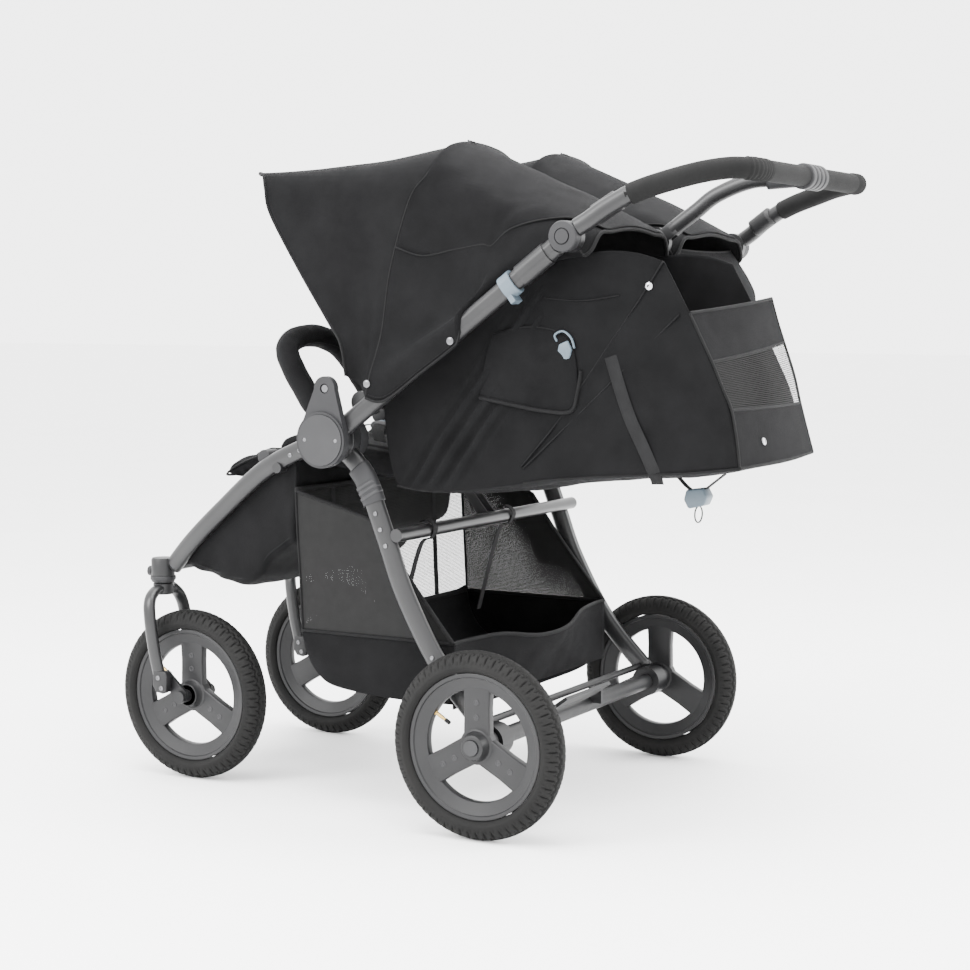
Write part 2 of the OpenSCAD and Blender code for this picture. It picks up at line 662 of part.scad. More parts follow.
bumper_r = 20;
bumper_pin_r = 4;
bumper_low = seat_gap + 46;
bumper_high = front_in - 15;
module bumper_bar(s) {
  m = (bumper_low + bumper_high) / 2;
  half = [[0, -74, 42], [0, -98, 76], [4, -130, 122], [20, -146, 148], [56, -153, 162], [m - bumper_low, -155, 166]];
  path = concat([for (p = half) at_hub(bumper_high - p[0], [p[1], p[2]])],
    [for (i = [4:-1:0]) at_hub(bumper_low + half[i][0], [half[i][1], half[i][2]])]);
  color(cloth_col) side(s) swept(smooth(path, 3), 2 * bumper_r, 2 * bumper_r, [0.05, 1, 0.6], sides = 18, e = 1);
  color(casing_col) side(s) difference() {
    for (x = [bumper_low, bumper_high]) {
      across_hub(x - 12, x + 12, bumper_pivot, 14);
      translate([x, hub_y + bumper_pivot[0] - 6, hub_h + bumper_pivot[1] + 10]) rotate([26, 0, 0]) cylinder(h = 14, r = 11);
    }
    across_hub(bumper_high - 4, bumper_high + 13, bumper_pivot, bumper_pin_r + fit);
    across_hub(bumper_low - 13, bumper_low - 5, bumper_pivot, bumper_pin_r + fit);
  }
}

calf_in = seat_gap + 10;
module calf_rest(s) {
  color(cloth_col) side(s) {
    plate(calf_in, calf_out - 12, [[-190, -34], [-204, -33], [-292, -62], [-300, -74], [-294, -84], [-206, -56], [-190, -50]]);
    difference() {
      across_hub(calf_out - 30, calf_out - 1, calf_pivot, 11);
      across_hub(calf_out - 17, calf_out, calf_pivot, 5 + fit);
    }
  }
}

front_legs();
front_cross();
hub_casing(1);  // hub_casing_left
hub_casing(-1);  // hub_casing_right
hub_caps();
centre_hub();
seat_base(1);  // seat_base_left
seat_base(-1);  // seat_base_right
footwell();
basket_tray();
basket_mesh();
frame_screws();
push_tube(1);  // push_tube_left
push_tube(-1);  // push_tube_right
push_tube_centre();
side_wings();
fold_trigger(1);  // fold_trigger_left
fold_trigger(-1);  // fold_trigger_right
handlebar();
handle_grip();
handle_button(1);  // handle_button_left
handle_button(-1);  // handle_button_right
rear_legs();
rear_cross();
rear_axle();
brake_pedal();
brake_pin(1);  // brake_pin_left
brake_pin(-1);  // brake_pin_right
side(1) tyre(front_wheel_x, front_y);  // tyre_front_left
side(-1) tyre(front_wheel_x, front_y);  // tyre_front_right
side(1) tyre(rear_wheel_x, rear_y);  // tyre_rear_left
side(-1) tyre(rear_wheel_x, rear_y);  // tyre_rear_right
side(1) rim(front_wheel_x, front_y, front_hub_half, front_hub_half, false);  // rim_front_left
side(-1) rim(front_wheel_x, front_y, front_hub_half, front_hub_half, false);  // rim_front_right
side(1) rim(rear_wheel_x, rear_y, rear_hub_in, rear_hub_out, true);  // rim_rear_left
side(-1) rim(rear_wheel_x, rear_y, rear_hub_in, rear_hub_out, true);  // rim_rear_right
quick_release(1);  // quick_release_left
quick_release(-1);  // quick_release_right
fork(1);  // fork_left
fork(-1);  // fork_right
fork_arm(1);  // fork_arm_left
fork_arm(-1);  // fork_arm_right
swivel_lock(1);  // swivel_lock_left
swivel_lock(-1);  // swivel_lock_right
canopy_bow(1);  // canopy_bow_left
canopy_bow(-1);  // canopy_bow_right
canopy_brim(1);  // canopy_brim_left
canopy_brim(-1);  // canopy_brim_right
canopy_front(1);  // canopy_front_left
canopy_front(-1);  // canopy_front_right
canopy_rear(1);  // canopy_rear_left
canopy_rear(-1);  // canopy_rear_right
seat_back(1, left_recline);  // seat_back_left
seat_back(-1, right_recline);  // seat_back_right
seat_boot_left();
seat_boot_right();
bumper_bar(1);  // bumper_bar_left
bumper_bar(-1);  // bumper_bar_right
calf_rest(1);  // calf_rest_left
calf_rest(-1);  // calf_rest_right
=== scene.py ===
import bpy
import bmesh
import math
from mathutils import Vector, Matrix, noise


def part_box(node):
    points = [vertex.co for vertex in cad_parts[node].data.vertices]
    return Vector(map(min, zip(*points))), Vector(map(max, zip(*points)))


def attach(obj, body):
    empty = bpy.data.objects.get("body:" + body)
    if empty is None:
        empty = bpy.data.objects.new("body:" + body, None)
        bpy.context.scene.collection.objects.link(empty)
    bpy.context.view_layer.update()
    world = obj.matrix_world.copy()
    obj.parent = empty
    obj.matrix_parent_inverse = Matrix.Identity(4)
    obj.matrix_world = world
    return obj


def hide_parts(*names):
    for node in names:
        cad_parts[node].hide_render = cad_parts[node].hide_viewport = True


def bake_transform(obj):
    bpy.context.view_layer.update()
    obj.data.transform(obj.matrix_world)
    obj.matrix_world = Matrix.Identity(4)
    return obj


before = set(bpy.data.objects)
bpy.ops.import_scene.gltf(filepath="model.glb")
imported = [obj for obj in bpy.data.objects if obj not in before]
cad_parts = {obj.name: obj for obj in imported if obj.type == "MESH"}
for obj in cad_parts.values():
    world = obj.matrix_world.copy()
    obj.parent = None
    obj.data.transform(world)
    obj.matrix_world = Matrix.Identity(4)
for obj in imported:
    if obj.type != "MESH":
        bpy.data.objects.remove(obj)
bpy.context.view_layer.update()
print("frame loaded")

# drawing helpers; sizes are in millimetres, back is +Y
midY = 61.0635    # the drawing's Y of the middle of the whole length
hubY = -40.0
hubZ = 627.0
sideName = {1: "left", -1: "right"}


def at(x, y, z):
    return Vector((x, y - midY, z)) / 1000


def hub(x, dy, dz):
    return at(x, hubY + dy, hubZ + dz)


def path(side, *points):    # a line of points given for the left side
    return [at(side * x, y, z) for x, y, z in points]


def plane(x, rows):    # lines of (back, up) points, all at one distance from the middle
    return [[at(x, y, z) for y, z in row] for row in rows]


def smoothLine(points, steps=6, closed=False):
    count = len(points)
    line = []
    for i in range(count if closed else count - 1):
        b, c = points[i], points[(i + 1) % count]
        a = points[i - 1] if closed or i else b
        d = points[(i + 2) % count] if closed or i + 2 < count else c
        for k in range(steps):
            t = k / steps
            line.append(0.5 * (2 * b + (c - a) * t + (2 * a - 5 * b + 4 * c - d) * t * t
                               + (3 * b - a - 3 * c + d) * t * t * t))
    if not closed:
        line.append(points[-1].copy())
    return line


def lineLength(line):
    return sum((q - p).length for p, q in zip(line, line[1:]))


def spread(line, count):    # the same line with evenly spaced points
    reach = [0.0]
    for p, q in zip(line, line[1:]):
        reach.append(reach[-1] + (q - p).length)
    out, k = [], 0
    for i in range(count):
        want = reach[-1] * i / (count - 1)
        while k < len(line) - 2 and reach[k + 1] < want:
            k += 1
        span = reach[k + 1] - reach[k]
        out.append(line[k].lerp(line[k + 1], min(1, (want - reach[k]) / span) if span > 1e-9 else 0))
    return out


def newPiece(name, points, faces, look, uvs=None, flat=False):
    mesh = bpy.data.meshes.new(name)
    mesh.from_pydata([tuple(p) for p in points], [], faces)
    piece = bpy.data.objects.new(name, mesh)
    bpy.context.collection.objects.link(piece)
    mesh.materials.append(look)
    if uvs:
        layer = mesh.uv_layers.new(name="cloth")
        for loop in mesh.loops:
            layer.data[loop.index].uv = uvs[loop.vertex_index]
    if not flat:
        mesh.polygons.foreach_set("use_smooth", [True] * len(faces))
    mesh.update()
    return piece


def settle(piece):    # applies what is on the stack
    view = bpy.context.evaluated_depsgraph_get()
    view.update()
    mesh = bpy.data.meshes.new_from_object(piece.evaluated_get(view))
    old = piece.data
    piece.modifiers.clear()
    piece.data = mesh
    bpy.data.meshes.remove(old)
    return piece


def joined(name, pieces):    # one piece made of several, with their materials
    mesh = bpy.data.meshes.new(name)
    build = bmesh.new()
    looks = []
    for piece in pieces:
        shift = {}
        for i, look in enumerate(piece.data.materials):
            if look not in looks:
                looks.append(look)
            shift[i] = looks.index(look)
        before = len(build.faces)
        build.from_mesh(piece.data)
        build.faces.ensure_lookup_table()
        for face in build.faces[before:]:
            face.material_index = shift.get(face.material_index, 0)
    build.to_mesh(mesh)
    build.free()
    for look in looks:
        mesh.materials.append(look)
    whole = bpy.data.objects.new(name, mesh)
    bpy.context.collection.objects.link(whole)
    for piece in pieces:
        bpy.data.objects.remove(piece)
    return whole


def smoothByAngle(piece, degrees=38):
    mesh = piece.data
    mesh.polygons.foreach_set("use_smooth", [True] * len(mesh.polygons))
    build = bmesh.new()
    build.from_mesh(mesh)
    for edge in build.edges:
        if len(edge.link_faces) == 2 and edge.calc_face_angle(0) > math.radians(degrees):
            edge.smooth = False
    build.to_mesh(mesh)
    build.free()
    return piece


def boxUvs(piece):    # a flat map in metres from the nearest axis, for weaves
    mesh = piece.data
    layer = mesh.uv_layers.get("cloth") or mesh.uv_layers.new(name="cloth")
    for face in mesh.polygons:
        n = face.normal
        axis = max(range(3), key=lambda i: abs(n[i]))
        u, v = [(1, 2), (0, 2), (0, 1)][axis]
        for index in face.loop_indices:
            p = mesh.vertices[mesh.loops[index].vertex_index].co
            layer.data[index].uv = (p[u], p[v])
    return piece


# materials
def startMaterial(name, colour, rough, metal=0.0):
    look = bpy.data.materials.new(name)
    look.use_nodes = True
    shader = look.node_tree.nodes["Principled BSDF"]
    shader.inputs["Base Color"].default_value = (*colour, 1)
    shader.inputs["Roughness"].default_value = rough
    shader.inputs["Metallic"].default_value = metal
    return look, look.node_tree, shader


def node(tree, kind, **values):
    made = tree.nodes.new(kind)
    for key, value in values.items():
        if key in made.inputs:
            made.inputs[key].default_value = value
        else:
            setattr(made, key, value)
    return made


def mathNode(tree, operation, a, b=None):
    made = tree.nodes.new("ShaderNodeMath")
    made.operation = operation
    for slot, value in ((0, a), (1, b)):
        if value is None:
            continue
        if isinstance(value, (int, float)):
            made.inputs[slot].default_value = value
        else:
            tree.links.new(value, made.inputs[slot])
    return made.outputs[0]


def noiseField(tree, scale, detail=3.0, rough=0.55):
    place = node(tree, "ShaderNodeTexCoord")
    field = node(tree, "ShaderNodeTexNoise", Scale=scale, Detail=detail, Roughness=rough)
    tree.links.new(place.outputs["Object"], field.inputs["Vector"])
    return field.outputs["Fac"]


def varyColour(tree, shader, fac, dark, light, low=0.3, high=0.7):
    ramp = node(tree, "ShaderNodeValToRGB")
    ramp.color_ramp.elements[0].color = (*dark, 1)
    ramp.color_ramp.elements[0].position = low
    ramp.color_ramp.elements[1].color = (*light, 1)
    ramp.color_ramp.elements[1].position = high
    tree.links.new(fac, ramp.inputs["Fac"])
    tree.links.new(ramp.outputs["Color"], shader.inputs["Base Color"])
    return ramp


def varyRough(tree, shader, fac, low, high):
    roughRange = node(tree, "ShaderNodeMapRange")
    roughRange.inputs["To Min"].default_value = low
    roughRange.inputs["To Max"].default_value = high
    tree.links.new(fac, roughRange.inputs["Value"])
    tree.links.new(roughRange.outputs["Result"], shader.inputs["Roughness"])


def addBump(tree, shader, height, depth, strength=1.0):
    bump = node(tree, "ShaderNodeBump", Strength=strength, Distance=depth)
    tree.links.new(height, bump.inputs["Height"])
    before = shader.inputs["Normal"].links
    if before:
        tree.links.new(before[0].from_socket, bump.inputs["Normal"])
    tree.links.new(bump.outputs["Normal"], shader.inputs["Normal"])


def threads(tree, pitch):    # crossing threads, from the flat map in metres
    place = node(tree, "ShaderNodeUVMap", uv_map="cloth")
    parts = node(tree, "ShaderNodeSeparateXYZ")
    tree.links.new(place.outputs["UV"], parts.inputs["Vector"])
    turn = 2 * math.pi / pitch
    along = mathNode(tree, "SINE", mathNode(tree, "MULTIPLY", parts.outputs["X"], turn))
    across = mathNode(tree, "SINE", mathNode(tree, "MULTIPLY", parts.outputs["Y"], turn))
    return along, across


def weaveLook(name, dark, light, pitch, rough=0.82, sheen=0.03, rumple=0.0014):
    look, tree, shader = startMaterial(name, light, rough)
    shader.inputs["Sheen Weight"].default_value = sheen
    shader.inputs["Sheen Roughness"].default_value = 0.4
    shader.inputs["Sheen Tint"].default_value = (0.25, 0.25, 0.27, 1)
    shader.inputs["Specular IOR Level"].default_value = 0.07
    along, across = threads(tree, pitch)
    weave = mathNode(tree, "MULTIPLY", along, across)
    shade = mathNode(tree, "ADD", noiseField(tree, 14, 5), mathNode(tree, "MULTIPLY", weave, 0.09))
    varyColour(tree, shader, shade, dark, light)
    varyRough(tree, shader, noiseField(tree, 40, 3), rough - 0.08, rough + 0.08)
    addBump(tree, shader, noiseField(tree, 26, 4, 0.5), rumple, 0.6)
    addBump(tree, shader, weave, pitch * 0.22, 0.7)
    return look


def netLook(name, colour, pitch, thickness):    # knitted net that shows what is behind it
    look, tree, shader = startMaterial(name, colour, 0.7)
    along, across = threads(tree, pitch)
    thread = mathNode(tree, "MULTIPLY", along, across)
    hole = mathNode(tree, "GREATER_THAN", mathNode(tree, "ABSOLUTE", thread), thickness)
    tree.links.new(mathNode(tree, "SUBTRACT", 1.0, hole), shader.inputs["Alpha"])
    varyColour(tree, shader, noiseField(tree, 60, 3), tuple(c * 0.7 for c in colour), colour)
    shader.inputs["Specular IOR Level"].default_value = 0.15
    return look


def webbingLook(name, dark, light, rib):
    look, tree, shader = startMaterial(name, light, 0.7)
    shader.inputs["Specular IOR Level"].default_value = 0.12
    along, across = threads(tree, rib)
    varyColour(tree, shader, mathNode(tree, "ADD", noiseField(tree, 30),
        mathNode(tree, "MULTIPLY", across, 0.12)), dark, light)
    addBump(tree, shader, mathNode(tree, "ADD", across, mathNode(tree, "MULTIPLY", along, 0.4)), rib * 0.2,
        0.8)
    return look


def mouldedLook(name, dark, light, rough, metal, grain, depth, gloss=0.3):
    look, tree, shader = startMaterial(name, light, rough, metal)
    shader.inputs["Specular IOR Level"].default_value = gloss
    varyColour(tree, shader, noiseField(tree, 9, 5), dark, light)
    varyRough(tree, shader, noiseField(tree, 35, 4), rough - 0.07, rough + 0.08)
    addBump(tree, shader, noiseField(tree, grain, 2, 0.6), depth, 0.35)
    return look


canvas = weaveLook("canvas", (0.0020, 0.0020, 0.0022), (0.0040, 0.0040, 0.0043), 0.0009)
quiltCloth = weaveLook("quiltCloth", (0.0028, 0.0028, 0.003), (0.0052, 0.0052, 0.0056), 0.0016, sheen=0.05)
binding = webbingLook("binding", (0.0022, 0.0022, 0.0024), (0.0045, 0.0045, 0.0048), 0.0012)
webbing = webbingLook("webbing", (0.0040, 0.0040, 0.0043), (0.0075, 0.0075, 0.008), 0.0016)
thread = webbingLook("thread", (0.006, 0.006, 0.0065), (0.012, 0.012, 0.0125), 0.0006)
net = netLook("net", (0.006, 0.006, 0.006), 0.0052, 0.3)
denseNet = netLook("denseNet", (0.005, 0.005, 0.005), 0.0052, 0.86)
satinPaint = mouldedLook("satinPaint", (0.008, 0.008, 0.0085), (0.012, 0.012, 0.0125), 0.34, 0.1, 900,
    0.0001, 0.36)
castPaint = mouldedLook("castPaint", (0.005, 0.005, 0.0055), (0.009, 0.009, 0.0095), 0.46, 0.1, 500, 0.0002,
    0.28)
hubPlastic = mouldedLook("hubPlastic", (0.011, 0.011, 0.012), (0.016, 0.016, 0.017), 0.5, 0.0, 1200,
    0.00015, 0.2)
capPlastic = mouldedLook("capPlastic", (0.014, 0.014, 0.015), (0.020, 0.020, 0.021), 0.44, 0.0, 900, 0.0001,
    0.25)
triggerPlastic = mouldedLook("triggerPlastic", (0.055, 0.075, 0.092), (0.075, 0.098, 0.118), 0.42, 0.0, 900,
    0.0001)
wheelPlastic = mouldedLook("wheelPlastic", (0.007, 0.007, 0.0075), (0.011, 0.011, 0.0115), 0.44, 0.0, 700,
    0.00015, 0.24)
tyreRubber = mouldedLook("tyreRubber", (0.003, 0.003, 0.003), (0.0065, 0.0063, 0.0061), 0.76, 0.0, 260,
    0.0004, 0.14)
gripFoam = mouldedLook("gripFoam", (0.0032, 0.0032, 0.0032), (0.006, 0.006, 0.006), 0.8, 0.0, 1500, 0.0006,
    0.12)
screwSteel = mouldedLook("screwSteel", (0.10, 0.10, 0.105), (0.16, 0.16, 0.165), 0.3, 0.9, 600, 0.0001)
snapSteel = mouldedLook("snapSteel", (0.42, 0.42, 0.43), (0.55, 0.55, 0.56), 0.28, 0.95, 500, 0.0001)
brass = mouldedLook("brass", (0.42, 0.27, 0.07), (0.58, 0.40, 0.13), 0.3, 0.95, 500, 0.0001)
print("materials ready")


# making shapes
def clothGrid(name, sections, look, along=44, steps=6, thick=2.0, crease=1.6, grain=9.0, seed=0, pleat=None,
        side=0, edgeFade=5.0):
    # sections are lines across the piece; the cloth is drawn smoothly through them
    rows = [spread(smoothLine(s, 6), along) for s in sections]
    columns = [smoothLine([r[j] for r in rows], steps) for j in range(along)]
    count = len(columns[0])
    grid = [[columns[j][i] for j in range(along)] for i in range(count)]
    points, uvs, faces = [], [], []
    for i in range(count):
        reach = 0.0
        for j in range(along):
            p = grid[i][j]
            du = grid[min(i + 1, count - 1)][j] - grid[max(i - 1, 0)][j]
            dv = grid[i][min(j + 1, along - 1)] - grid[i][max(j - 1, 0)]
            normal = du.cross(dv)
            normal = normal.normalized() if normal.length > 1e-12 else Vector((0, 0, 1))
            fade = min(1, edgeFade * min(i / (count - 1), 1 - i / (count - 1), j / (along - 1),
                1 - j / (along - 1)) + 0.1)
            wave = noise.noise(p * grain + Vector((seed, 0,
                0))) + 0.45 * noise.noise(p * grain * 2.7 + Vector((0, seed, 3)))
            move = crease * wave * fade
            if pleat:
                move += pleat(p) * fade
            if j:
                reach += (p - grid[i][j - 1]).length
            points.append(p + normal * move / 1000)
            uvs.append((reach, sum((grid[k][j] - grid[k - 1][j]).length for k in range(1,
                i + 1)) if j == 0 else uvs[-1][1]))
            if i and j:
                n = len(points) - 1
                faces.append((n, n - 1, n - 1 - along, n - along))
    piece = newPiece(name, points, faces, look, uvs)
    width = max(lineLength(r) for r in grid)
    length = max(lineLength([grid[i][j] for i in range(count)]) for j in range(along))
    area = sum(f.area for f in piece.data.polygons)
    piece["cut"] = [width, length, min(area, width * length)]
    wall = piece.modifiers.new("wall", "SOLIDIFY")
    wall.thickness = thick / 1000
    wall.offset = side
    return settle(piece)


def sheetOf(piece):
    del piece["cut"]


def tube(name, line, wide, deep=None, look=None, across=None, sides=24, boxy=1.0, scale=None, ends=True,
        closed=False):
    deep = deep or wide
    points, uvs, faces = [], [], []
    count = len(line)
    reach, last = 0.0, None
    around = 2 * math.pi * max(wide, deep) / 2000
    for i, p in enumerate(line):
        if closed:
            t = (line[(i + 1) % count] - line[i - 1]).normalized()
        else:
            t = (line[min(i + 1, count - 1)] - line[max(i - 1, 0)]).normalized()
        guide = Vector(across) if across else (last or (Vector((1, 0, 0)) if abs(t.x) < 0.8 else Vector((0,
            0, 1))))
        u = (guide - t * guide.dot(t)).normalized()
        last = u
        n = t.cross(u)
        grow = scale(i / (count - 1)) if scale else 1.0
        if i:
            reach += (p - line[i - 1]).length
        for k in range(sides):
            c, s = math.cos(2 * math.pi * k / sides), math.sin(2 * math.pi * k / sides)
            c, s = math.copysign(abs(c) ** boxy, c), math.copysign(abs(s) ** boxy, s)
            points.append(p + u * c * wide * grow / 2000 + n * s * deep * grow / 2000)
            uvs.append((around * k / sides, reach))
    for i in range(count if closed else count - 1):
        for k in range(sides):
            a, b = i * sides + k, i * sides + (k + 1) % sides
            c, d = (a + sides) % (count * sides), (b + sides) % (count * sides)
            faces.append((a, b, d, c))
    if ends and not closed:
        faces.append(tuple(reversed(range(sides))))
        faces.append(tuple(range((count - 1) * sides, count * sides)))
    return newPiece(name, points, faces, look, uvs)


def turned(name, profile, centre, look, axis=(1, 0, 0), steps=64, angle=30):
    # profile is pairs of (distance along the axis, radius)
    turn = Vector((0, 0, 1)).rotation_difference(Vector(axis)).to_matrix()
    points, faces = [], []
    for h, r in profile:
        for k in range(steps):
            a = 2 * math.pi * k / steps
            points.append(centre + turn @ Vector((r * math.cos(a), r * math.sin(a), h)) / 1000)
    for i in range(len(profile) - 1):
        for k in range(steps):
            a, b = i * steps + k, i * steps + (k + 1) % steps
            faces.append((a, b, b + steps, a + steps))
    ringShaped = profile[0] == profile[-1]
    if profile[0][1] > 0.01 and not ringShaped:
        faces.append(tuple(reversed(range(steps))))
    if profile[-1][1] > 0.01 and not ringShaped:
        faces.append(tuple(range((len(profile) - 1) * steps, len(profile) * steps)))
    piece = newPiece(name, points, faces, look)
    build = bmesh.new()
    build.from_mesh(piece.data)
    bmesh.ops.remove_doubles(build, verts=build.verts, dist=1e-6)
    bmesh.ops.recalc_face_normals(build, faces=build.faces)
    build.to_mesh(piece.data)
    build.free()
    return smoothByAngle(piece, angle)


def slab(name, outline, x0, x1, look, rim=1.0, place=None):
    # an outline of (back, up) points made solid from x0 to x1, with rounded edges
    build = bmesh.new()
    low = [build.verts.new(at(x0, y, z)) for y, z in outline]
    high = [build.verts.new(at(x1, y, z)) for y, z in outline]
    build.faces.new(low)
    build.faces.new(list(reversed(high)))
    for i in range(len(outline)):
        k = (i + 1) % len(outline)
        build.faces.new((low[i], high[i], high[k], low[k]))
    bmesh.ops.recalc_face_normals(build, faces=build.faces)
    mesh = bpy.data.meshes.new(name)
    build.to_mesh(mesh)
    build.free()
    if place:
        mesh.transform(place)
    piece = bpy.data.objects.new(name, mesh)
    bpy.context.collection.objects.link(piece)
    mesh.materials.append(look)
    if rim:
        soft = piece.modifiers.new("rim", "BEVEL")
        soft.width = rim / 1000
        soft.segments = 3
        soft.limit_method = "ANGLE"
        soft.angle_limit = math.radians(35)
        settle(piece)
    return smoothByAngle(piece)


def domeHead(name, centre, axis, r, h, look, slotted=True):
    rows = [(0, r), (h * 0.45, r), (h * 0.85, r * 0.8), (h, r * 0.5)]
    if slotted:
        rows += [(h, r * 0.42), (h * 0.45, r * 0.36), (h * 0.45, 0)]
    else:
        rows += [(h, 0)]
    return turned(name, rows, centre, look, axis, 24)


def strap(name, line, width, look, facing, thick=1.6):
    # flat webbing along a line; facing is the direction its broad side looks to
    dense = smoothLine(line, 8)
    points, uvs, faces = [], [], []
    reach = 0.0
    for i, p in enumerate(dense):
        t = (dense[min(i + 1, len(dense) - 1)] - dense[max(i - 1, 0)]).normalized()
        across = t.cross(Vector(facing)).normalized()
        up = across.cross(t).normalized()
        if i:
            reach += (p - dense[i - 1]).length
        for a, b in ((-0.5, 0), (-0.46, 0.5), (0.46, 0.5), (0.5, 0), (0.46, -0.5), (-0.46, -0.5)):
            points.append(p + across * a * width / 1000 + up * b * thick / 1000)
            uvs.append((a * width / 1000, reach))
    for i in range(len(dense) - 1):
        for k in range(6):
            a, b = i * 6 + k, i * 6 + (k + 1) % 6
            faces.append((a, b, b + 6, a + 6))
    faces.append(tuple(reversed(range(6))))
    faces.append(tuple(range(len(points) - 6, len(points))))
    return smoothByAngle(newPiece(name, points, faces, look, uvs), 50)


def stitchRow(name, line, lift, look=None, pitch=4.4, size=0.55):
    # short raised threads along a line; lift moves them onto the cloth
    dense = spread(smoothLine(line, 8), max(3, int(lineLength(smoothLine(line, 8)) * 1000 / pitch)))
    points, faces = [], []
    move = Vector(lift) / 1000
    for p, q in zip(dense, dense[1:]):
        t = (q - p).normalized()
        u = t.cross(move.normalized() if move.length else Vector((0, 0, 1))).normalized()
        n = t.cross(u)
        base = len(points)
        for share, grow in ((0.12, 0.4), (0.4, 1.0), (0.68, 0.4)):
            c = p.lerp(q, share) + move
            for k in range(6):
                a = math.pi * k / 3
                points.append(c + (u * math.cos(a) + n * math.sin(a)) * size * grow / 1000)
        for i in (0, 1):
            for k in range(6):
                a, b = base + i * 6 + k, base + i * 6 + (k + 1) % 6
                faces.append((a, b, b + 6, a + 6))
        faces.append(tuple(base + k for k in reversed(range(6))))
        faces.append(tuple(base + 12 + k for k in range(6)))
    return newPiece(name, points, faces, look or thread)


# camera, floor and light
studio = {"lens": 75.7, "eye": (3.1181, 1.7484, 0.8495), "azimuth": 119.2, "down": 5.1}
cameraData = bpy.data.cameras.new("studioCamera")
cameraData.lens = studio["lens"]
cameraData.sensor_width = 36
camera = bpy.data.objects.new("studioCamera", cameraData)
bpy.context.collection.objects.link(camera)
camera.location = studio["eye"]
camera.rotation_euler = (math.radians(90 - studio["down"]), 0, math.radians(studio["azimuth"]))
bpy.context.scene.camera = camera

floorLook, floorTree, floorShader = startMaterial("floorLook", (0.92, 0.92, 0.92), 0.75)
varyColour(floorTree, floorShader, noiseField(floorTree, 2), (0.91, 0.91, 0.91), (0.93, 0.93, 0.93))
floor = newPiece("floor", [(-30, -30, 0), (30, -30, 0), (30, 30, 0), (-30, 30, 0)], [(0, 1, 2, 3)],
    floorLook)

world = bpy.data.worlds.new("studioWorld")
bpy.context.scene.world = world
world.use_nodes = True
world.node_tree.nodes["Background"].inputs["Color"].default_value = (1, 1, 1, 1)
world.node_tree.nodes["Background"].inputs["Strength"].default_value = 4.6


def softLamp(name, place, aim, size, power):
    data = bpy.data.lights.new(name, "AREA")
    data.size = size
    data.energy = power
    lamp = bpy.data.objects.new(name, data)
    bpy.context.collection.objects.link(lamp)
    lamp.location = place
    lamp.rotation_euler = (Vector(aim) - Vector(place)).to_track_quat("-Z", "Y").to_euler()


softLamp("topLamp", (0.6, 0.2, 3.4), (0, 0, 0.5), 2.6, 300)
softLamp("keyLamp", (3.2, -1.6, 2.6), (0, 0, 0.6), 1.8, 240)
softLamp("rimLamp", (-1.2, 3.4, 2.2), (0, 0, 0.7), 1.6, 200)
print("studio ready")

# repainting the frame parts that stay as they are
paints = {
    "hub_casing_left": hubPlastic, "hub_casing_right": hubPlastic, "centre_hub": castPaint,
        "hub_caps": capPlastic,
    "frame_screws": screwSteel, "front_cross": satinPaint, "push_tube_left": satinPaint,
        "push_tube_right": satinPaint,
    "push_tube_centre": satinPaint, "rear_cross": satinPaint, "rear_axle": castPaint,
        "brake_pedal": castPaint,
    "brake_pin_left": snapSteel, "brake_pin_right": snapSteel, "fork_arm_left": castPaint,
        "fork_arm_right": castPaint,
    "swivel_lock_left": hubPlastic, "swivel_lock_right": hubPlastic, "canopy_bow_left": castPaint,
    "canopy_bow_right": castPaint, "canopy_brim_left": castPaint, "canopy_brim_right": castPaint,
    "fold_trigger_left": triggerPlastic, "fold_trigger_right": triggerPlastic,
        "handle_button_left": hubPlastic,
    "handle_button_right": hubPlastic, "quick_release_left": capPlastic, "quick_release_right": capPlastic,
}
for name, look in paints.items():
    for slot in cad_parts[name].material_slots:
        slot.material = look


def keep(piece, body, slot, *nodes):    # rides and stands for its CAD parts
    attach(piece, body)
    if nodes:
        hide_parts(*nodes)
    return piece


# tubes of the frame
frontLeg = {"width": 22, "depth": 32}
for side in (1, -1):
    inner = path(side, (283, -52, 624), (283, -70, 620), (279.9, -115, 610), (264, -218, 565),
        (244, -326, 487), (230, -400, 428), (220, -450, 380))
    leg = tube("legTube", smoothLine(inner, 8), frontLeg["width"], frontLeg["depth"], satinPaint, (1, 0, 0),
        32, 0.85)
    head = turned("swivelHead", [(0, 17), (0, 20), (2, 21), (40, 21), (43.5, 19), (44, 12), (44, 0)],
        at(side * 220, -474, 350),
                  castPaint, (0, 0, 1))
    collar = turned("headRing", [(0, 21), (0, 22.4), (1, 23), (6, 23), (7, 22.4), (7, 21)],
        at(side * 220, -474, 354), hubPlastic, (0, 0, 1))
    pivot = turned("calfPivot", [(0, 5), (16, 5), (17, 12), (18, 13), (49, 13), (50, 12), (50, 0)],
        hub(side * 210, -182, -41), hubPlastic,
                   (side, 0, 0), 40)
    cap = domeHead("legBolt", at(side * 230.5, -440, 394), (side, 0, 0), 5, 2, screwSteel)
    bolts = [domeHead("legScrew", at(side * (x + 11), y, z), (side, 0, 0), 3.6, 1.6, screwSteel)
             for x, y, z in [(279, -128, 603), (275, -150, 594)]]
    whole = joined(f"frontLeg_{sideName[side]}", [leg, head, collar, pivot, cap] + bolts)
    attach(whole, "frame")
    if side == -1:
        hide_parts("front_legs")
rearLeg = {"width": 21, "depth": 34}
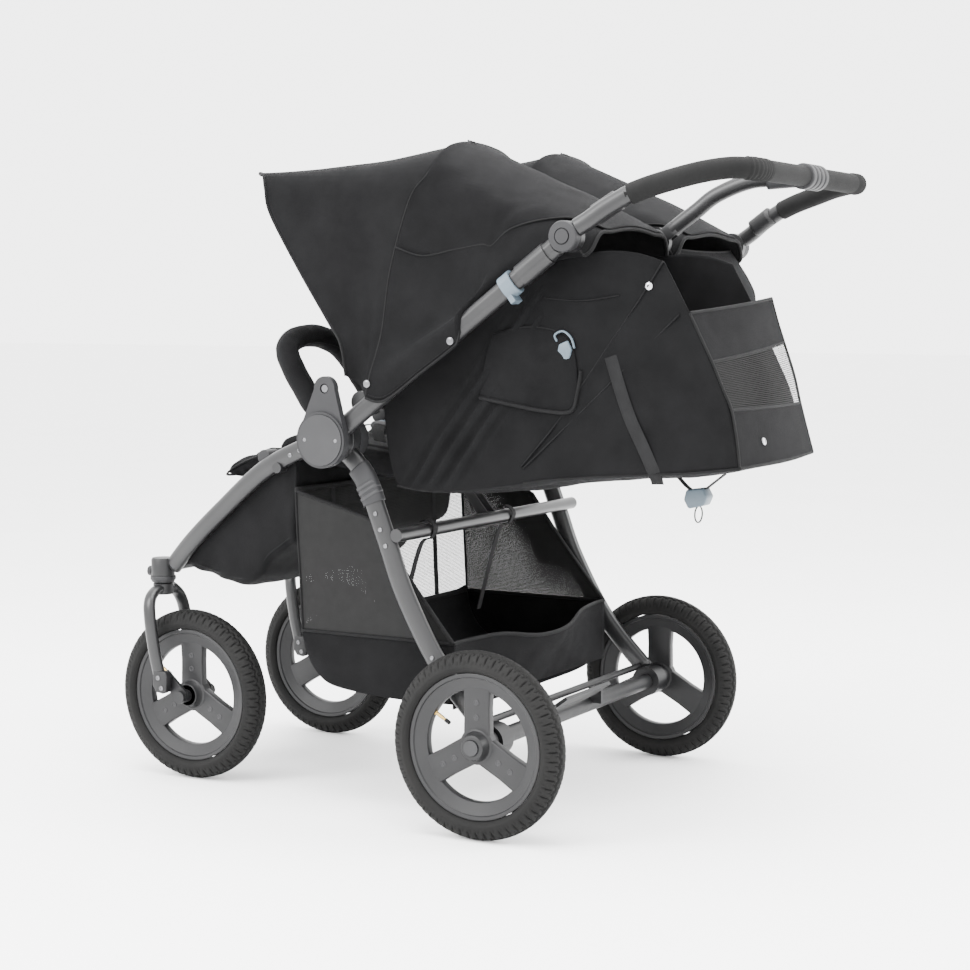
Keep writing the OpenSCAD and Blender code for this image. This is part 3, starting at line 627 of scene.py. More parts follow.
for side in (1, -1):
    disc = turned("legDisc", [(0, 8.1), (0, 37), (1, 38), (21, 38), (22, 37), (22, 8.1)],
        hub(side * 295, 0, 0), castPaint, (side, 0, 0))
    line = [hub(side * 306, dy, dz) for dy,
        dz in [(20, -24), (52, -61), (94, -163), (130, -254), (196, -366), (278, -455)]]
    leg = tube("rearTube", smoothLine(line, 8), rearLeg["width"], rearLeg["depth"], satinPaint, (1, 0, 0),
        32, 0.85)
    collarLine = smoothLine([hub(side * 306, dy, dz) for dy,
        dz in [(40, -46), (53, -63), (63, -84), (71, -104)]], 6)
    lug = tube("legCollar", collarLine, 24, 40, hubPlastic, (1, 0, 0), 32, 0.75)
    rings = [tube("collarRib", smoothLine([hub(side * 306, dy, dz), hub(side * 306, dy + 3, dz - 5)], 1),
        25.4, 41.6, capPlastic, (1, 0, 0), 32, 0.75)
             for dy, dz in [(56, -72), (60, -80), (64, -89)]]
    rivets = [domeHead("rivet", hub(side * 317, dy, dz), (side, 0, 0), 3.8, 1.8, screwSteel, False)
              for dy, dz in [(79, -120), (88, -146), (98, -172), (186, -349)]]
    whole = joined(f"rearLeg_{sideName[side]}", [disc, leg, lug] + rings + rivets)
    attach(whole, "rear_frame")
    if side == -1:
        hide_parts("rear_legs")
print("frame tubes done")

# handlebar
handle = {"y": 395.127, "z": 950.154, "back": 265, "rise": 99}


def bar(x, dy, dz):
    return at(x, handle["y"] + dy, handle["z"] + dz)


parts = []
for side in (1, -1):
    line = [bar(side * x, dy, dz) for x, dy,
        dz in [(335, 18, 13), (331, 36, 24), (323, 66, 45), (313, 112, 69), (297, 170, 85), (272, 222, 97)]]
    parts.append(tube("arm", smoothLine(line, 8), 26, 28, satinPaint, (1, 0, 0), 32, 0.9))
    parts.append(turned("jointDisc", [(0, 8), (0, 23), (1.2, 24), (16, 24), (18, 22.5), (18.5, 13),
        (16.5, 12), (16.5, 7.2), (4, 7.2)],
                        bar(side * 331.6, 0, 0), hubPlastic, (side, 0, 0)))
    parts.append(tube("sleeve", smoothLine([bar(side * 322, 44, 32), bar(side * 315, 78, 54)], 6), 29.5, 32,
        castPaint, (1, 0, 0), 32, 0.85))
    parts.append(domeHead("sleeveScrew", bar(side * 333.5, 62, 45), (side, 0, 0), 3.6, 1.6, screwSteel))
    parts.append(turned("centreDisc", [(0, 6), (0, 20), (0.8, 21), (4.3, 21), (5, 20), (5, 0)],
        bar(side * 6.6, 0, 0), castPaint, (side, 0, 0)))
    parts.append(tube("centreLink", smoothLine([bar(side * 8.2, 6, 4), bar(side * 8.2, 34, 24)], 3), 4.4,
        24, castPaint, (1, 0, 0), 16, 0.7))
centreLine = [bar(0, dy, dz) for dy, dz in [(28, 19), (36, 26), (70, 50), (108, 76), (172, 97), (246, 96)]]
parts.append(tube("centreArm", smoothLine(centreLine, 8), 22, 26, satinPaint, (1, 0, 0), 32, 0.9))
keep(joined("handleArms", parts), "handle", "frame_paint", "handlebar")

cornerPoints = [(318, 92, 60), (309, 126, 73), (297, 170, 86), (281, 205, 95), (263, 237, 100),
    (240, 258, 100), (208, 265, 99), (120, 265, 99),
                (45, 265, 99)]
halfGrip = [bar(x, dy, dz) for x, dy, dz in cornerPoints]
gripLine = smoothLine(halfGrip + [bar(0, 265, 99)] + [bar(-x, dy, dz) for x, dy,
    dz in reversed(cornerPoints)], 10)


def ribs(t):    # ribbed sleeves over the corners of the grip
    near = min(t, 1 - t)
    if 0.215 < near < 0.275:
        return 1.05 + 0.045 * math.sin((near - 0.215) / 0.0042 * math.pi)
    return 1.0 - (0.22 if near < 0.006 else 0)


fine = spread(gripLine, 420)
parts = [tube("foam", fine, 33, 33, gripFoam, (0, 0, 1), 28, 1.0, ribs)]
for x in (-27, -9, 9, 27):
    parts.append(turned("clampRing", [(-8, 16), (-7, 19.6), (-5, 20.8), (5, 20.8), (7, 19.6), (8, 16)],
        bar(x, 265, 99), hubPlastic, (1, 0, 0)))
stem = [bar(0, 195, 96), bar(0, 235, 98), bar(0, 258, 99)]
parts.append(tube("clampStem", smoothLine(stem, 6), 25, 30, hubPlastic, (1, 0, 0), 28, 0.75))
keep(joined("handleGrip", parts), "handle", "grip_foam", "handle_grip")
print("handlebar done")

# wheels
tyre = {"r": 152, "width": 48, "blocks": 60, "groove": 2.6}


def tyreMesh(name, x, y):
    ring, points, faces, uvs = tyre["r"] - tyre["width"] / 2, [], [], []
    around, section = 420, 40
    for i in range(around):
        a = 2 * math.pi * i / around
        beat = (i / around * tyre["blocks"]) % 1
        zig = abs(beat - 0.5) * 4 - 1
        for k in range(section):
            b = -2.36 + 4.72 * k / (section - 1)
            r = tyre["width"] / 2
            across = abs(b)
            cut = 0.0
            if across < 1.5:
                if abs(across - 0.36 - 0.12 * zig) < 0.085:
                    cut = tyre["groove"]
                elif across > 0.5 and (beat + 0.12 * across) % 0.5 < 0.09:
                    cut = tyre["groove"] * min(1, (1.5 - across) * 3)
                elif across < 0.3 and beat < 0.1:
                    cut = tyre["groove"] * 0.7
            elif 1.62 < across < 1.72:
                cut = -0.6
            r -= cut
            radius = ring + r * math.cos(b) * (1.0 if math.cos(b) > 0 else 0.55)
            points.append(at(x + r * math.sin(b), y + radius * math.cos(a),
                tyre["r"] + radius * math.sin(a)))
    for i in range(around):
        for k in range(section):
            a, b = i * section + k, i * section + (k + 1) % section
            c, d = ((i + 1) % around) * section + k, ((i + 1) % around) * section + (k + 1) % section
            faces.append((a, c, d, b))
    piece = newPiece(name, points, faces, tyreRubber)
    return smoothByAngle(piece, 50)


def rimMesh(name, x, y, halfIn, halfOut, side, rear):
    centre = at(x, y, tyre["r"])
    outward = Vector((side, 0, 0))
    parts = [turned("rimRing", [(-15, 115), (-17, 117.5), (-17.5, 116), (-16.5, 111.5), (-14, 110),
        (-9, 97), (-7, 91), (-5, 90), (5, 90), (7, 91),
                                (9, 97), (14, 110), (16.5, 111.5), (17.5, 116), (17, 117.5), (15, 115),
                                    (0, 112), (-15, 115)],
                    centre, wheelPlastic, outward, 120, 28)]
    parts.append(turned("hubBarrel", [(-halfIn, 6.1), (-halfIn, 20), (-halfIn + 1.5, 22), (-9, 23),
        (-7, 30), (7, 30), (9, 24.5),
                                      (halfOut - 8, 21), (halfOut - 1, 20), (halfOut, 19),
                                          (halfOut, 13 if rear else 6.1),
                                      (halfOut - 8, 12.8 if rear else 6.1)], centre, wheelPlastic, outward))
    for turn in (90, 210, 330):
        spoke = slab("spoke", [(-23.5, 16), (23.5, 16), (22.6, 60), (24.5, 96), (-24.5, 96), (-22.6, 60)],
            -8, 8, wheelPlastic, 2.4)
        dimples = [turned("dimple", [(7.6, 5.2), (8.5, 5.0), (8.9, 3.9), (8.2, 3.1), (7.9, 0)], at(0, 0, h),
            capPlastic, (side, 0, 0), 24) for h in (46, 70)]
        whole = joined("spokePart", [spoke] + dimples)
        move = Matrix.Translation(centre) @ Matrix.Rotation(math.radians(turn - 90), 4,
            "X") @ Matrix.Translation(-at(0, 0, 0))
        whole.data.transform(move)
        parts.append(whole)
    if rear:
        parts.append(turned("hubRing", [(halfOut - 4, 13), (halfOut + 0.6, 13.2), (halfOut + 1, 16),
            (halfOut, 18.6), (halfOut - 4, 19)], centre, castPaint, outward))
    else:
        parts.append(turned("hubFace", [(halfOut - 3, 6.1), (halfOut, 8), (halfOut, 18), (halfOut - 2, 20)],
            centre, castPaint, outward))
    angle = math.radians(150)
    stemFoot = centre + Vector((0, math.cos(angle), math.sin(angle))) * 0.0905
    inward = Vector((0, -math.cos(angle), -math.sin(angle)))
    parts.append(turned("valveStem", [(-4, 4.4), (1, 4.4), (2, 3.2), (16, 3.0), (16, 2.4), (22, 2.4),
        (22, 0)], stemFoot, brass, inward, 20))
    parts.append(turned("valveCap", [(20, 3.0), (20.5, 3.5), (29, 3.3), (30, 2.2), (30, 0)], stemFoot,
        tyreRubber, inward, 20))
    return joined(name, parts)


for side in (1, -1):
    hand = sideName[side]
    keep(tyreMesh(f"tyreTread_front_{hand}", side * 220, -407), f"front_wheel_{hand}", "tyre_rubber",
        f"tyre_front_{hand}")
    keep(tyreMesh(f"tyreTread_rear_{hand}", side * 348, 250), f"rear_wheel_{hand}", "tyre_rubber",
        f"tyre_rear_{hand}")
    keep(rimMesh(f"wheelRim_front_{hand}", side * 220, -407, 22, 22, side, False), f"front_wheel_{hand}",
        "rim_plastic", f"rim_front_{hand}")
    keep(rimMesh(f"wheelRim_rear_{hand}", side * 348, 250, 29, 24, side, True), f"rear_wheel_{hand}",
        "rim_plastic", f"rim_rear_{hand}")
print("wheels done")

# front forks
for side in (1, -1):
    hand = sideName[side]
    parts = []
    for k in (1, -1):
        line = [at(side * 220 + k * x, -474 + y, z) for x, y,
            z in [(4, 0, 339), (24, 1, 336), (42, 3, 322), (50, 8, 294), (50, 16, 238), (50, 27, 192)]]
        parts.append(tube("blade", smoothLine(line, 8), 16, 23, satinPaint, (1, 0, 0.4), 28, 0.9))
        block = [(-454, 198), (-428, 198), (-424, 192), (-426, 162), (-434, 158), (-448, 160), (-456, 172)]
        x = side * 220 + k * 50
        parts.append(slab("legCasting", block, x - 8.5, x + 8.5, castPaint, 2.2))
        for y, z in [(-443, 186), (-436, 168)]:
            parts.append(domeHead("castScrew", at(x + k * 8.4, y, z), (k, 0, 0), 4.2, 2, screwSteel))
    parts.append(turned("crown", [(-22, 15), (-22, 17), (-20, 18), (-3, 18), (-1, 16), (-1, 8), (30, 8),
        (30, 0)], at(side * 220, -474, 350), castPaint, (0, 0, 1)))
    keep(joined(f"forkFrame_{hand}", parts), f"front_fork_{hand}", "frame_paint", f"fork_{hand}")
print("forks done")

# canopies
canopy = {"wall": 1.8, "sag": 9}


def canopyArc(outer, crown, inner, side):    # outer foot, over the crown, down to the inner foot
    return [at(side * x, y, z) for x, y, z in outer + crown + inner]


brimArc = ([(346, 2, 732), (345, -8, 782), (334, -38, 818), (319, -106, 904), (306, -171, 996),
    (302, -184, 1038)],
           [(290, -196, 1062), (262, -222, 1068), (210, -258, 1069), (160, -272, 1069), (110, -258, 1069),
               (58, -222, 1068), (30, -196, 1062)],
           [(19, -184, 1038), (17, -171, 996), (16, -106, 904), (16, -45, 815), (16, -8, 775),
               (16, 6, 736)])
seamArc = ([(346, 40, 697), (344, 46, 730), (326, 58, 800), (311, 66, 903), (305, 99, 1014),
    (300, 128, 1052)],
           [(286, 140, 1078), (256, 140, 1096), (208, 136, 1106), (160, 133, 1109), (112, 136, 1106),
               (64, 140, 1096), (34, 140, 1078)],
           [(20, 128, 1052), (17, 99, 1014), (16, 66, 903), (16, 50, 800), (16, 42, 735), (16, 40, 705)])


def rearArc(foot, crownY, crownZ, drop):
    x, y, z = foot
    shoulderY = crownY * 0.85 + y * 0.15
    rise = [(x, y, z + 46)] if x > 340 else []    # stays outside the push tube before it turns in
    outer = [(x, y, z)] + rise + [(x * 0.55 + 306 * 0.45, y * 0.7 + shoulderY * 0.3,
        z * 0.7 + (crownZ - drop - 40) * 0.3),
             (307, y * 0.35 + shoulderY * 0.65, z * 0.35 + (crownZ - drop - 30) * 0.65),
                 (300, shoulderY, crownZ - drop - 18)]
    over = [(278, crownY, crownZ - drop + 6), (238, crownY, crownZ - drop * 0.38),
        (196, crownY, crownZ - drop * 0.1), (160, crownY, crownZ),
            (124, crownY, crownZ - drop * 0.1), (82, crownY, crownZ - drop * 0.38),
                (42, crownY, crownZ - drop + 6)]
    inner = [(22, shoulderY, crownZ - drop - 18),
        (16, y * 0.35 + shoulderY * 0.65, z * 0.35 + (crownZ - drop - 30) * 0.65),
             (16, y * 0.7 + shoulderY * 0.3, z * 0.7 + (crownZ - drop - 40) * 0.3), (16, y, z)]
    return outer, over, inner


rearRows = [((346, 76, 694), 160, 1098, 34), ((346, 142, 738), 205, 1078, 44),
    ((346, 200, 778), 248, 1060, 46), ((345, 211, 792), 268, 1050, 46),
            ((334, 216, 832), 300, 1036, 42), ((308, 262, 876), 340, 1018, 34),
                ((303, 330, 905), 382, 996, 26), ((303, 404, 928), 426, 966, 16)]


for side in (1, -1):
    hand = sideName[side]
    mid, visor = f"canopy_mid_{hand}", f"canopy_visor_{hand}"
    centre = at(side * 160, 60, 800)
    first, last = canopyArc(*brimArc, side), canopyArc(*seamArc, side)
    rows = []
    for share in (0, 0.33, 0.66, 1):
        pull = canopy["sag"] / 1000 * 4 * share * (1 - share)
        rows.append([p.lerp(q, share) + (centre - p.lerp(q, share)).normalized() * pull for p,
            q in zip(first, last)])
    # tension folds fan out from the foot of the hood
    foot = at(side * 330, 40, 710)

    def fan(p):
        away = p - foot
        angle = math.atan2(away.z, away.y)
        return 1.5 * math.sin(angle * 26) * math.exp(-((away.length - 0.10) / 0.10) ** 2)

    front = clothGrid(f"canopyFront_{hand}", rows, canvas, 90, 10, canopy["wall"], 2.4, 7,
        3 if side > 0 else 8, fan)
    brimHem = tube(f"canopyHem_front_{hand}", spread(smoothLine(first, 8), 160), 5.5, 4.2, binding, None,
        10)
    stitchA = stitchRow(f"canopyStitch_front_{hand}",
        [p.lerp(q, 0.03) for p, q in zip(rows[0], rows[1])][:14], (side * 1.6, 0, 0))
    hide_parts(f"canopy_front_{hand}")
    sheetOf(front)
    for piece in (front, brimHem, stitchA):
        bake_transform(piece)
    seamPipe = tube(f"canopySeam_{hand}", spread(smoothLine(last, 8), 160), 4.4, 3.6, binding, None, 10)
    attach(seamPipe, mid)

    arcs = [last] + [canopyArc(*rearArc(*row), side) for row in rearRows]
    even = [spread(smoothLine(a, 6), 80) for a in arcs]
    rear = clothGrid(f"canopyRear_{hand}", even, canvas, 90, 5, canopy["wall"], 2.2, 8,
        5 if side > 0 else 11)
    outerEdge = [a[0] for a in arcs]
    innerEdge = [a[-1] for a in arcs]
    hems = [tube("hem", smoothLine(outerEdge, 8), 5.5, 4.5, binding, None, 10),
        tube("hem", smoothLine(innerEdge, 8), 4.5, 3.5, binding, None, 10),
            tube("hem", spread(smoothLine(arcs[-1], 8), 120), 6.5, 5.5, binding, None, 10)]
    flapRows = []
    for a in even:
        top = a[18:62]
        flapRows.append([p + Vector((0, 0.001, 0.0042)) for p in top])
    flap = clothGrid(f"canopyTopPanel_{hand}", flapRows, canvas, 60, 5, 1.6, 1.8, 9, 2)
    flapEdges = [tube("flapEdge", smoothLine([r[i] for r in flapRows], 6), 4.2, 3.4, binding, None,
        10) for i in (0, -1)]
    hemPiece = joined(f"canopyHem_rear_{hand}", hems + flapEdges)
    stitchB = stitchRow(f"canopyStitch_rear_{hand}", [p + Vector((0, 0.001, 0.007)) for p in outerEdge[:5]],
        (side * 1.6, 0, 0))
    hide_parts(f"canopy_rear_{hand}")
    sheetOf(rear)
    sheetOf(flap)
    for piece in (rear, flap, hemPiece, stitchB):
        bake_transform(piece)

    # toggle on a loop at the peak, and the snaps that hold the hood down
    loop = tube("peakLoop", smoothLine(path(side, (168, 128, 1108), (168, 131, 1113), (168, 141, 1113),
        (168, 150, 1104)), 6), 6, 1.6, webbing, (1, 0, 0), 8)
    toggle = turned("peakToggle", [(0, 2), (0, 4), (1, 5), (6, 5), (7, 4), (7, 2), (10, 1.6), (11, 0)],
        at(side * 168, 134, 1108), capPlastic, (0, -0.5, 0.86), 24)
    keep(joined(f"peakToggle_{hand}", [loop, toggle]), mid, "hub_plastic")
    snapA = domeHead(f"hoodSnap_low_{hand}", at(side * 347.2, 43, 720), (side, 0, 0), 6.2, 2.2, screwSteel,
        False)
    keep(snapA, mid, "screw_steel")
    snapB = domeHead(f"hoodSnap_rear_{hand}", at(side * 347, 198, 790), (side, 0, 0), 6.2, 2.2, screwSteel,
        False)
    keep(snapB, "push_frame", "screw_steel")
print("canopies done")

# seat sides, boots and the cloth behind the backs
seats = {"wall": 1.8}


def edgeTape(points, size=5.0):
    return tube("tape", smoothLine(points, 8), size, size * 0.75, binding, None, 10)


def tubeTop(y):    # height of the push tube's centre line
    return hubZ + (y - hubY) * math.tan(math.radians(36.6))


def foldWaves(p):    # gathered folds that run down and forward beside the seat
    y, z = p.y * 1000 + midY, p.z * 1000
    q = y * 0.81 - z * 0.585
    inside = max(0.0, 1 - abs(q + 222) / 52)
    return 4.2 * math.sin(q / 26 * 2 * math.pi + 1.5 * noise.noise(p * 9)) * min(1, inside * 2.2)


wingRows = [[(40, 688), (44, 640), (52, 592), (66, 552)],
    [(110, tubeTop(110)), (112, 670), (116, 600), (122, 546)],
            [(180, tubeTop(180)), (182, 700), (184, 620), (186, 549)],
                [(245, tubeTop(245)), (245, 720), (245, 630), (245, 556)],
            [(300, tubeTop(300) - 4), (300, 770), (300, 660), (300, 566)],
                [(345, 905), (345, 800), (345, 680), (345, 574)]]
wingLeft = clothGrid("sideWing_left",
    [[at(289.5 + (2 if 0 < i < 5 else 0), y, z) for y, z in row] for i, row in enumerate(wingRows)], canvas,
    90, 18,
                     seats["wall"], 2.6, 9, 4, foldWaves, edgeFade=9)
wingHem = edgeTape([at(290, *row[-1]) for row in wingRows], 5.5)
wingHem.name = "sideWingHem_left"
wingRight = clothGrid("sideWing_right", plane(-289.5, [
    [(30, 675), (34, 640), (44, 600), (60, 572)], [(90, tubeTop(90)), (100, 690), (112, 630), (122, 585)],
    [(150, tubeTop(150)), (168, 730), (186, 670), (200, 610)],
        [(230, tubeTop(230)), (246, 790), (262, 730), (276, 668)],
    [(300, tubeTop(300)), (312, 850), (322, 800), (330, 745)]]), canvas, 60, 12, seats["wall"], 3.0, 9, 6)
for piece in (wingLeft, wingHem, wingRight):
    keep(piece, "push_frame", "cloth")
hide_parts("side_wings")
sheetOf(wingLeft)
sheetOf(wingRight)

# the pocket on the left side, with its elastic hem and hook clip
pocket = {"x": 293, "puff": 13}
pocketRows = [[(247, 800), (300, 812), (352, 808), (386, 790)],
    [(236, 765), (296, 775), (352, 772), (394, 757)],
              [(226, 728), (290, 733), (348, 728), (396, 712)],
                  [(222, 700), (286, 690), (336, 682), (384, 682)]]


def puffed(y, z):
    across = max(0, 1 - ((y - 312) / 86) ** 2)
    up = max(0, 1 - ((z - 742) / 62) ** 2)
    return pocket["x"] + pocket["puff"] * math.sqrt(across * up)


pocketCloth = clothGrid("sidePocket", [[at(puffed(y, z), y, z) for y, z in row] for row in pocketRows],
    canvas, 60, 14, 1.6, 4.5, 16, 9, None, 0, 3)
pocketHem = joined("sidePocketHem", [edgeTape([at(puffed(y, z) + 0.6, y, z) for y,
    z in pocketRows[3]] + path(1, (295, 396, 712), (295, 402, 745)), 9),
                                     edgeTape([at(293.5, y, z) for y, z in pocketRows[0]], 4)])
clipParts = [slab("clipBody", [(366, 786), (381, 792), (388, 778), (384, 764), (370, 760), (362, 772)], 296,
    302, triggerPlastic, 2.2),
             tube("clipHook", smoothLine(path(1, (299, 362, 790), (299, 358, 800), (299, 372, 806),
                 (299, 386, 796), (299, 392, 780)), 6), 5, 3.5,
                  triggerPlastic, (1, 0, 0), 12),
             strap("clipLoop", path(1, (297, 375, 768), (297, 380, 750), (296, 386, 735)), 10, webbing,
                 (1, 0, 0))]
for piece in (pocketCloth, pocketHem):
    keep(piece, "push_frame", "cloth")
keep(joined("hookClip", clipParts), "push_frame", "trigger_plastic")
sheetOf(pocketCloth)

# left boot: the seat lies back, so the boot reaches far behind
leftBoot = {
    "outer": [[(300, 872), (300, 770), (300, 660), (300, 567)],
        [(360, 915), (362, 800), (364, 690), (366, 577)],
              [(430, 928), (434, 810), (438, 700), (440, 584)],
                  [(490, 926), (505, 800), (516, 700), (520, 590)],
              [(538, 912), (581, 834), (612, 770), (640, 710), (656, 650), (664, 604)]],
    "rearOuter": [(581, 834), (600, 797), (618, 762), (636, 722), (650, 690), (659, 645), (664, 604)],
    "rearInner": [(606, 856), (616, 822), (628, 787), (646, 735), (657, 690), (668, 650), (679, 612)],
}
for hand, x in (("outer", 290.5), ("inner", 21)):
    wall = clothGrid(f"bootSide_left_{hand}",
        [[at(x + (2.5 if hand == "outer" and 0 < i < 4 else 0), y, z) for y, z in row]
                                               for i, row in enumerate(leftBoot["outer"])], canvas, 70, 14,
                                                       seats["wall"], 3.4, 8, 12)
    sheetOf(wall)
    if hand == "outer":
        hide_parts("seat_boot_left")
    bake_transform(wall)


def rearEdge(side, level):    # a point on the boot's rear panel; side 0 is outer, 1 is inner
    outer, inner = leftBoot["rearOuter"], leftBoot["rearInner"]
    a, b = outer[level], inner[level]
    bow = 10 * 4 * side * (1 - side)
    return at(290.5 + (21 - 290.5) * side, a[0] + (b[0] - a[0]) * side + bow, a[1] + (b[1] - a[1]) * side)


rearParts = []
for label, first, lastLevel, look in (("top", 0, 2, canvas), ("window", 2, 4, net), ("low", 4, 6, canvas)):
    rows = [[rearEdge(k / 6, level) for k in range(7)] for level in range(first, lastLevel + 1)]
    panel = clothGrid(f"bootRear_left_{label}", rows, look, 50, 10, 1.2 if look is net else seats["wall"],
        1.6, 8, 7)
    rearParts.append(panel)
levels = [edgeTape([rearEdge(k / 6, level) for k in range(7)], 5 if level else 6.5) for level in (0, 2, 4,
    6)]
edges = [edgeTape([rearEdge(side, level) for level in range(7)], 5.5) for side in (0, 1)]
seamA = edgeTape([at(294, y, z) for y, z in [(538, 912), (499, 854), (432, 763), (363, 668), (296, 592)]],
    3.6)
seamB = edgeTape([at(294, y, z) for y, z in [(565, 832), (474, 748), (380, 662), (300, 590)]], 3.6)
seamC = edgeTape([at(294, y, z) for y, z in [(336, 858), (400, 853), (466, 861)]], 3.2)
bottomEdge = [(300, 566), (366, 576), (440, 583), (520, 589), (590, 594), (664, 603)]
lowPipe = edgeTape([at(291, y, z) for y, z in bottomEdge], 6.5)
bootTrim = joined("bootTrim_left", levels + edges + [seamA, seamB, seamC, lowPipe])


def bootFloorPoint(x, y, z):    # hangs between the two sides, less so at the rear edge
    return at(x, y, z - 13 * math.sin(math.pi * (290 - x) / 269) ** 0.7 * (1 if y < 600 else 0.3))


floorRows = []
for y, z in [(120, 548), (200, 552), (300, 566), (366, 576), (440, 583), (520, 589), (590, 596),
        (664, 605)]:
    floorRows.append([bootFloorPoint(x, y, z) for x in (290, 284, 240, 190, 150, 110, 60, 28, 21)])
bootFloor = clothGrid("bootFloor_left", floorRows, canvas, 50, 10, seats["wall"], 5.0, 11, 15)
bootStrap = strap("reclineStrap_left",
    path(1, (296, 452, 768), (296.5, 470, 715), (297, 487, 672), (296, 508, 630), (293, 526, 590),
    (285, 528, 574)), 21,
                  webbing, (1, 0, 0))
sheetOf(rearParts[0])
sheetOf(rearParts[1])
sheetOf(rearParts[2])
sheetOf(bootFloor)
for piece in rearParts + [bootTrim, bootFloor, bootStrap]:
    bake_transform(piece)
snaps = [domeHead("ringSnap", at(294, 515, 875), (1, 0, 0), 6, 2.2, snapSteel)]
snaps.append(domeHead("ringSnap", at(215, 671, 640), (0, 0.96, 0.28), 6, 3.4, snapSteel))
keep(joined("bootSnaps_left", snaps), "seat_back_left", "screw_steel")

# buckle that hangs under the left boot on two straps
hanging = [strap("hangStrap", path(1, (155, 500, 580), (155, 518, 562), (155, 532, 552)), 14, webbing,
    (0, 0.5, 0.9)),
           strap("hangStrap", path(1, (155, 584, 582), (155, 562, 565), (155, 546, 552)), 14, webbing,
               (0, -0.5, 0.9)),
           slab("buckle", [(524, 556), (552, 560), (560, 546), (554, 532), (528, 526), (520, 540)], 140,
               170, triggerPlastic, 3),
           tube("buckleRing", [at(155 + 15 * math.sin(a), 540,
               517 + 13 * math.cos(a)) for a in [2 * math.pi * k / 24 for k in range(24)]], 2.6, 2.6,
               castPaint,
                (0, 1, 0), 10, closed=True)]
keep(joined("hangingBuckle_left", hanging), "seat_back_left", "trigger_plastic")

# right boot: the seat sits up, so the cloth stands close behind it
rightProfile = [(70, 562), (150, 575), (262, 604), (340, 650), (402, 716), (436, 782), (453, 850),
    (440, 890), (402, 944)]
rightRows = [[at(-290.5, y, z), at(-284, y + 4, z - 3), at(-220, y + 9, z - 6), at(-155, y + 10, z - 7),
    at(-90, y + 9, z - 6), at(-27, y + 4, z - 3), at(-21, y, z)]
             for y, z in rightProfile]
spans = [("low", 0, 5, canvas), ("window", 5, 6, net), ("top", 6, 8, canvas)]
rightPieces = []
for label, a, b, look in spans:
    panel = clothGrid(f"bootRear_right_{label}", rightRows[a:b + 1], look, 50, 10,
        1.2 if look is net else seats["wall"], 2.4, 8, 21)
    rightPieces.append(panel)
    sheetOf(panel)
for hand, x in (("outer", -290.5), ("inner", -21)):
    rows = []
    for y, z in rightProfile[2:]:
        topY = max(60, y - (z - 560) * 0.62 - 30)
        topZ = min(tubeTop(topY), 930)
        rows.append([at(x, y, z), at(x, y * 0.66 + topY * 0.34, z * 0.66 + topZ * 0.34),
                     at(x, y * 0.33 + topY * 0.67, z * 0.33 + topZ * 0.67), at(x, topY, topZ)])
    wall = clothGrid(f"bootSide_right_{hand}", rows, canvas, 40, 8, seats["wall"], 3.0, 8, 25)
    sheetOf(wall)
    rightPieces.append(wall)
rightTrim = joined("bootTrim_right", [edgeTape([row[0] for row in rightRows], 5.5),
    edgeTape([row[-1] for row in rightRows], 5.5)]
                   + [edgeTape(rightRows[k], 5) for k in (5, 6, 8)])
rightPieces.append(rightTrim)
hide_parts("seat_boot_right")
for piece in rightPieces:
    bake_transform(piece)
print("boots done")

# cushions
cushion = {"voxel": 0.0055, "pressure": 4.0, "cap": 0.007, "frames": 16}


def paddedCopy(name, cadNode, shrink, look):
    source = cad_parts[cadNode]
    piece = bpy.data.objects.new(name, source.data.copy())
    bpy.context.collection.objects.link(piece)
    piece.data.materials.clear()
    piece.data.materials.append(look)
    low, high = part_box(cadNode)
    middle = (Vector(low) + Vector(high)) / 2
    size = Vector(high) - Vector(low)
    for vertex in piece.data.vertices:
        for i in range(3):
            vertex.co[i] = middle[i] + (vertex.co[i] - middle[i]) * (1 - 2 * shrink / 1000 / size[i])
    even = piece.modifiers.new("even", "REMESH")
    even.mode = "VOXEL"
    even.voxel_size = cushion["voxel"]
    settle(piece)
    before = [v.co.copy() for v in piece.data.vertices]
    fill = piece.modifiers.new("fill", "CLOTH")
    fill.settings.use_pressure = True
    fill.settings.uniform_pressure_force = cushion["pressure"]
    fill.settings.effector_weights.gravity = 0
    fill.point_cache.frame_start = 1
    fill.point_cache.frame_end = cushion["frames"]
    for step in range(1, cushion["frames"] + 1):
        bpy.context.scene.frame_set(step)
    settle(piece)
    for vertex, start in zip(piece.data.vertices, before):
        move = vertex.co - start
        if move.length > cushion["cap"]:
            vertex.co = start + move * (cushion["cap"] / move.length)
    bpy.context.scene.frame_set(1)
    finer = piece.modifiers.new("finer", "SUBSURF")
    finer.levels = 1
    settle(piece)
    piece.data.polygons.foreach_set("use_smooth", [True] * len(piece.data.polygons))
    return piece


def press(piece, depthAt):    # pushes stitched channels into a cushion
    piece.data.update()
    moves = []
    for vertex in piece.data.vertices:
        moves.append(vertex.co - vertex.normal * depthAt(vertex.co) / 1000)
    for vertex, place in zip(piece.data.vertices, moves):
        vertex.co = place
    piece.data.update()
    boxUvs(piece)


def distanceTo(p, a, b):    # distance of p from the stretch a-b, in millimetres
    ab = b - a
    t = max(0, min(1, (p - a).dot(ab) / ab.length_squared))
    return (p - a - ab * t).length * 1000


def channels(lines, depth=5.0, width=6.0):
    def depthAt(p):
        return sum(depth * math.exp(-(distanceTo(p, a, b) / width) ** 2) for a,
            b in lines) + 0.9 * noise.noise(p * 22)
    return depthAt


def onBack(side, x, along, lift):    # a point on a seat back, along it from the seat and lifted off the board
    angle = math.radians(6 if side > 0 else 47)
    y = 45 + along * math.cos(angle) - lift * math.sin(angle)
    z = 565 + along * math.sin(angle) + lift * math.cos(angle)
    return at(side * x, y, z)


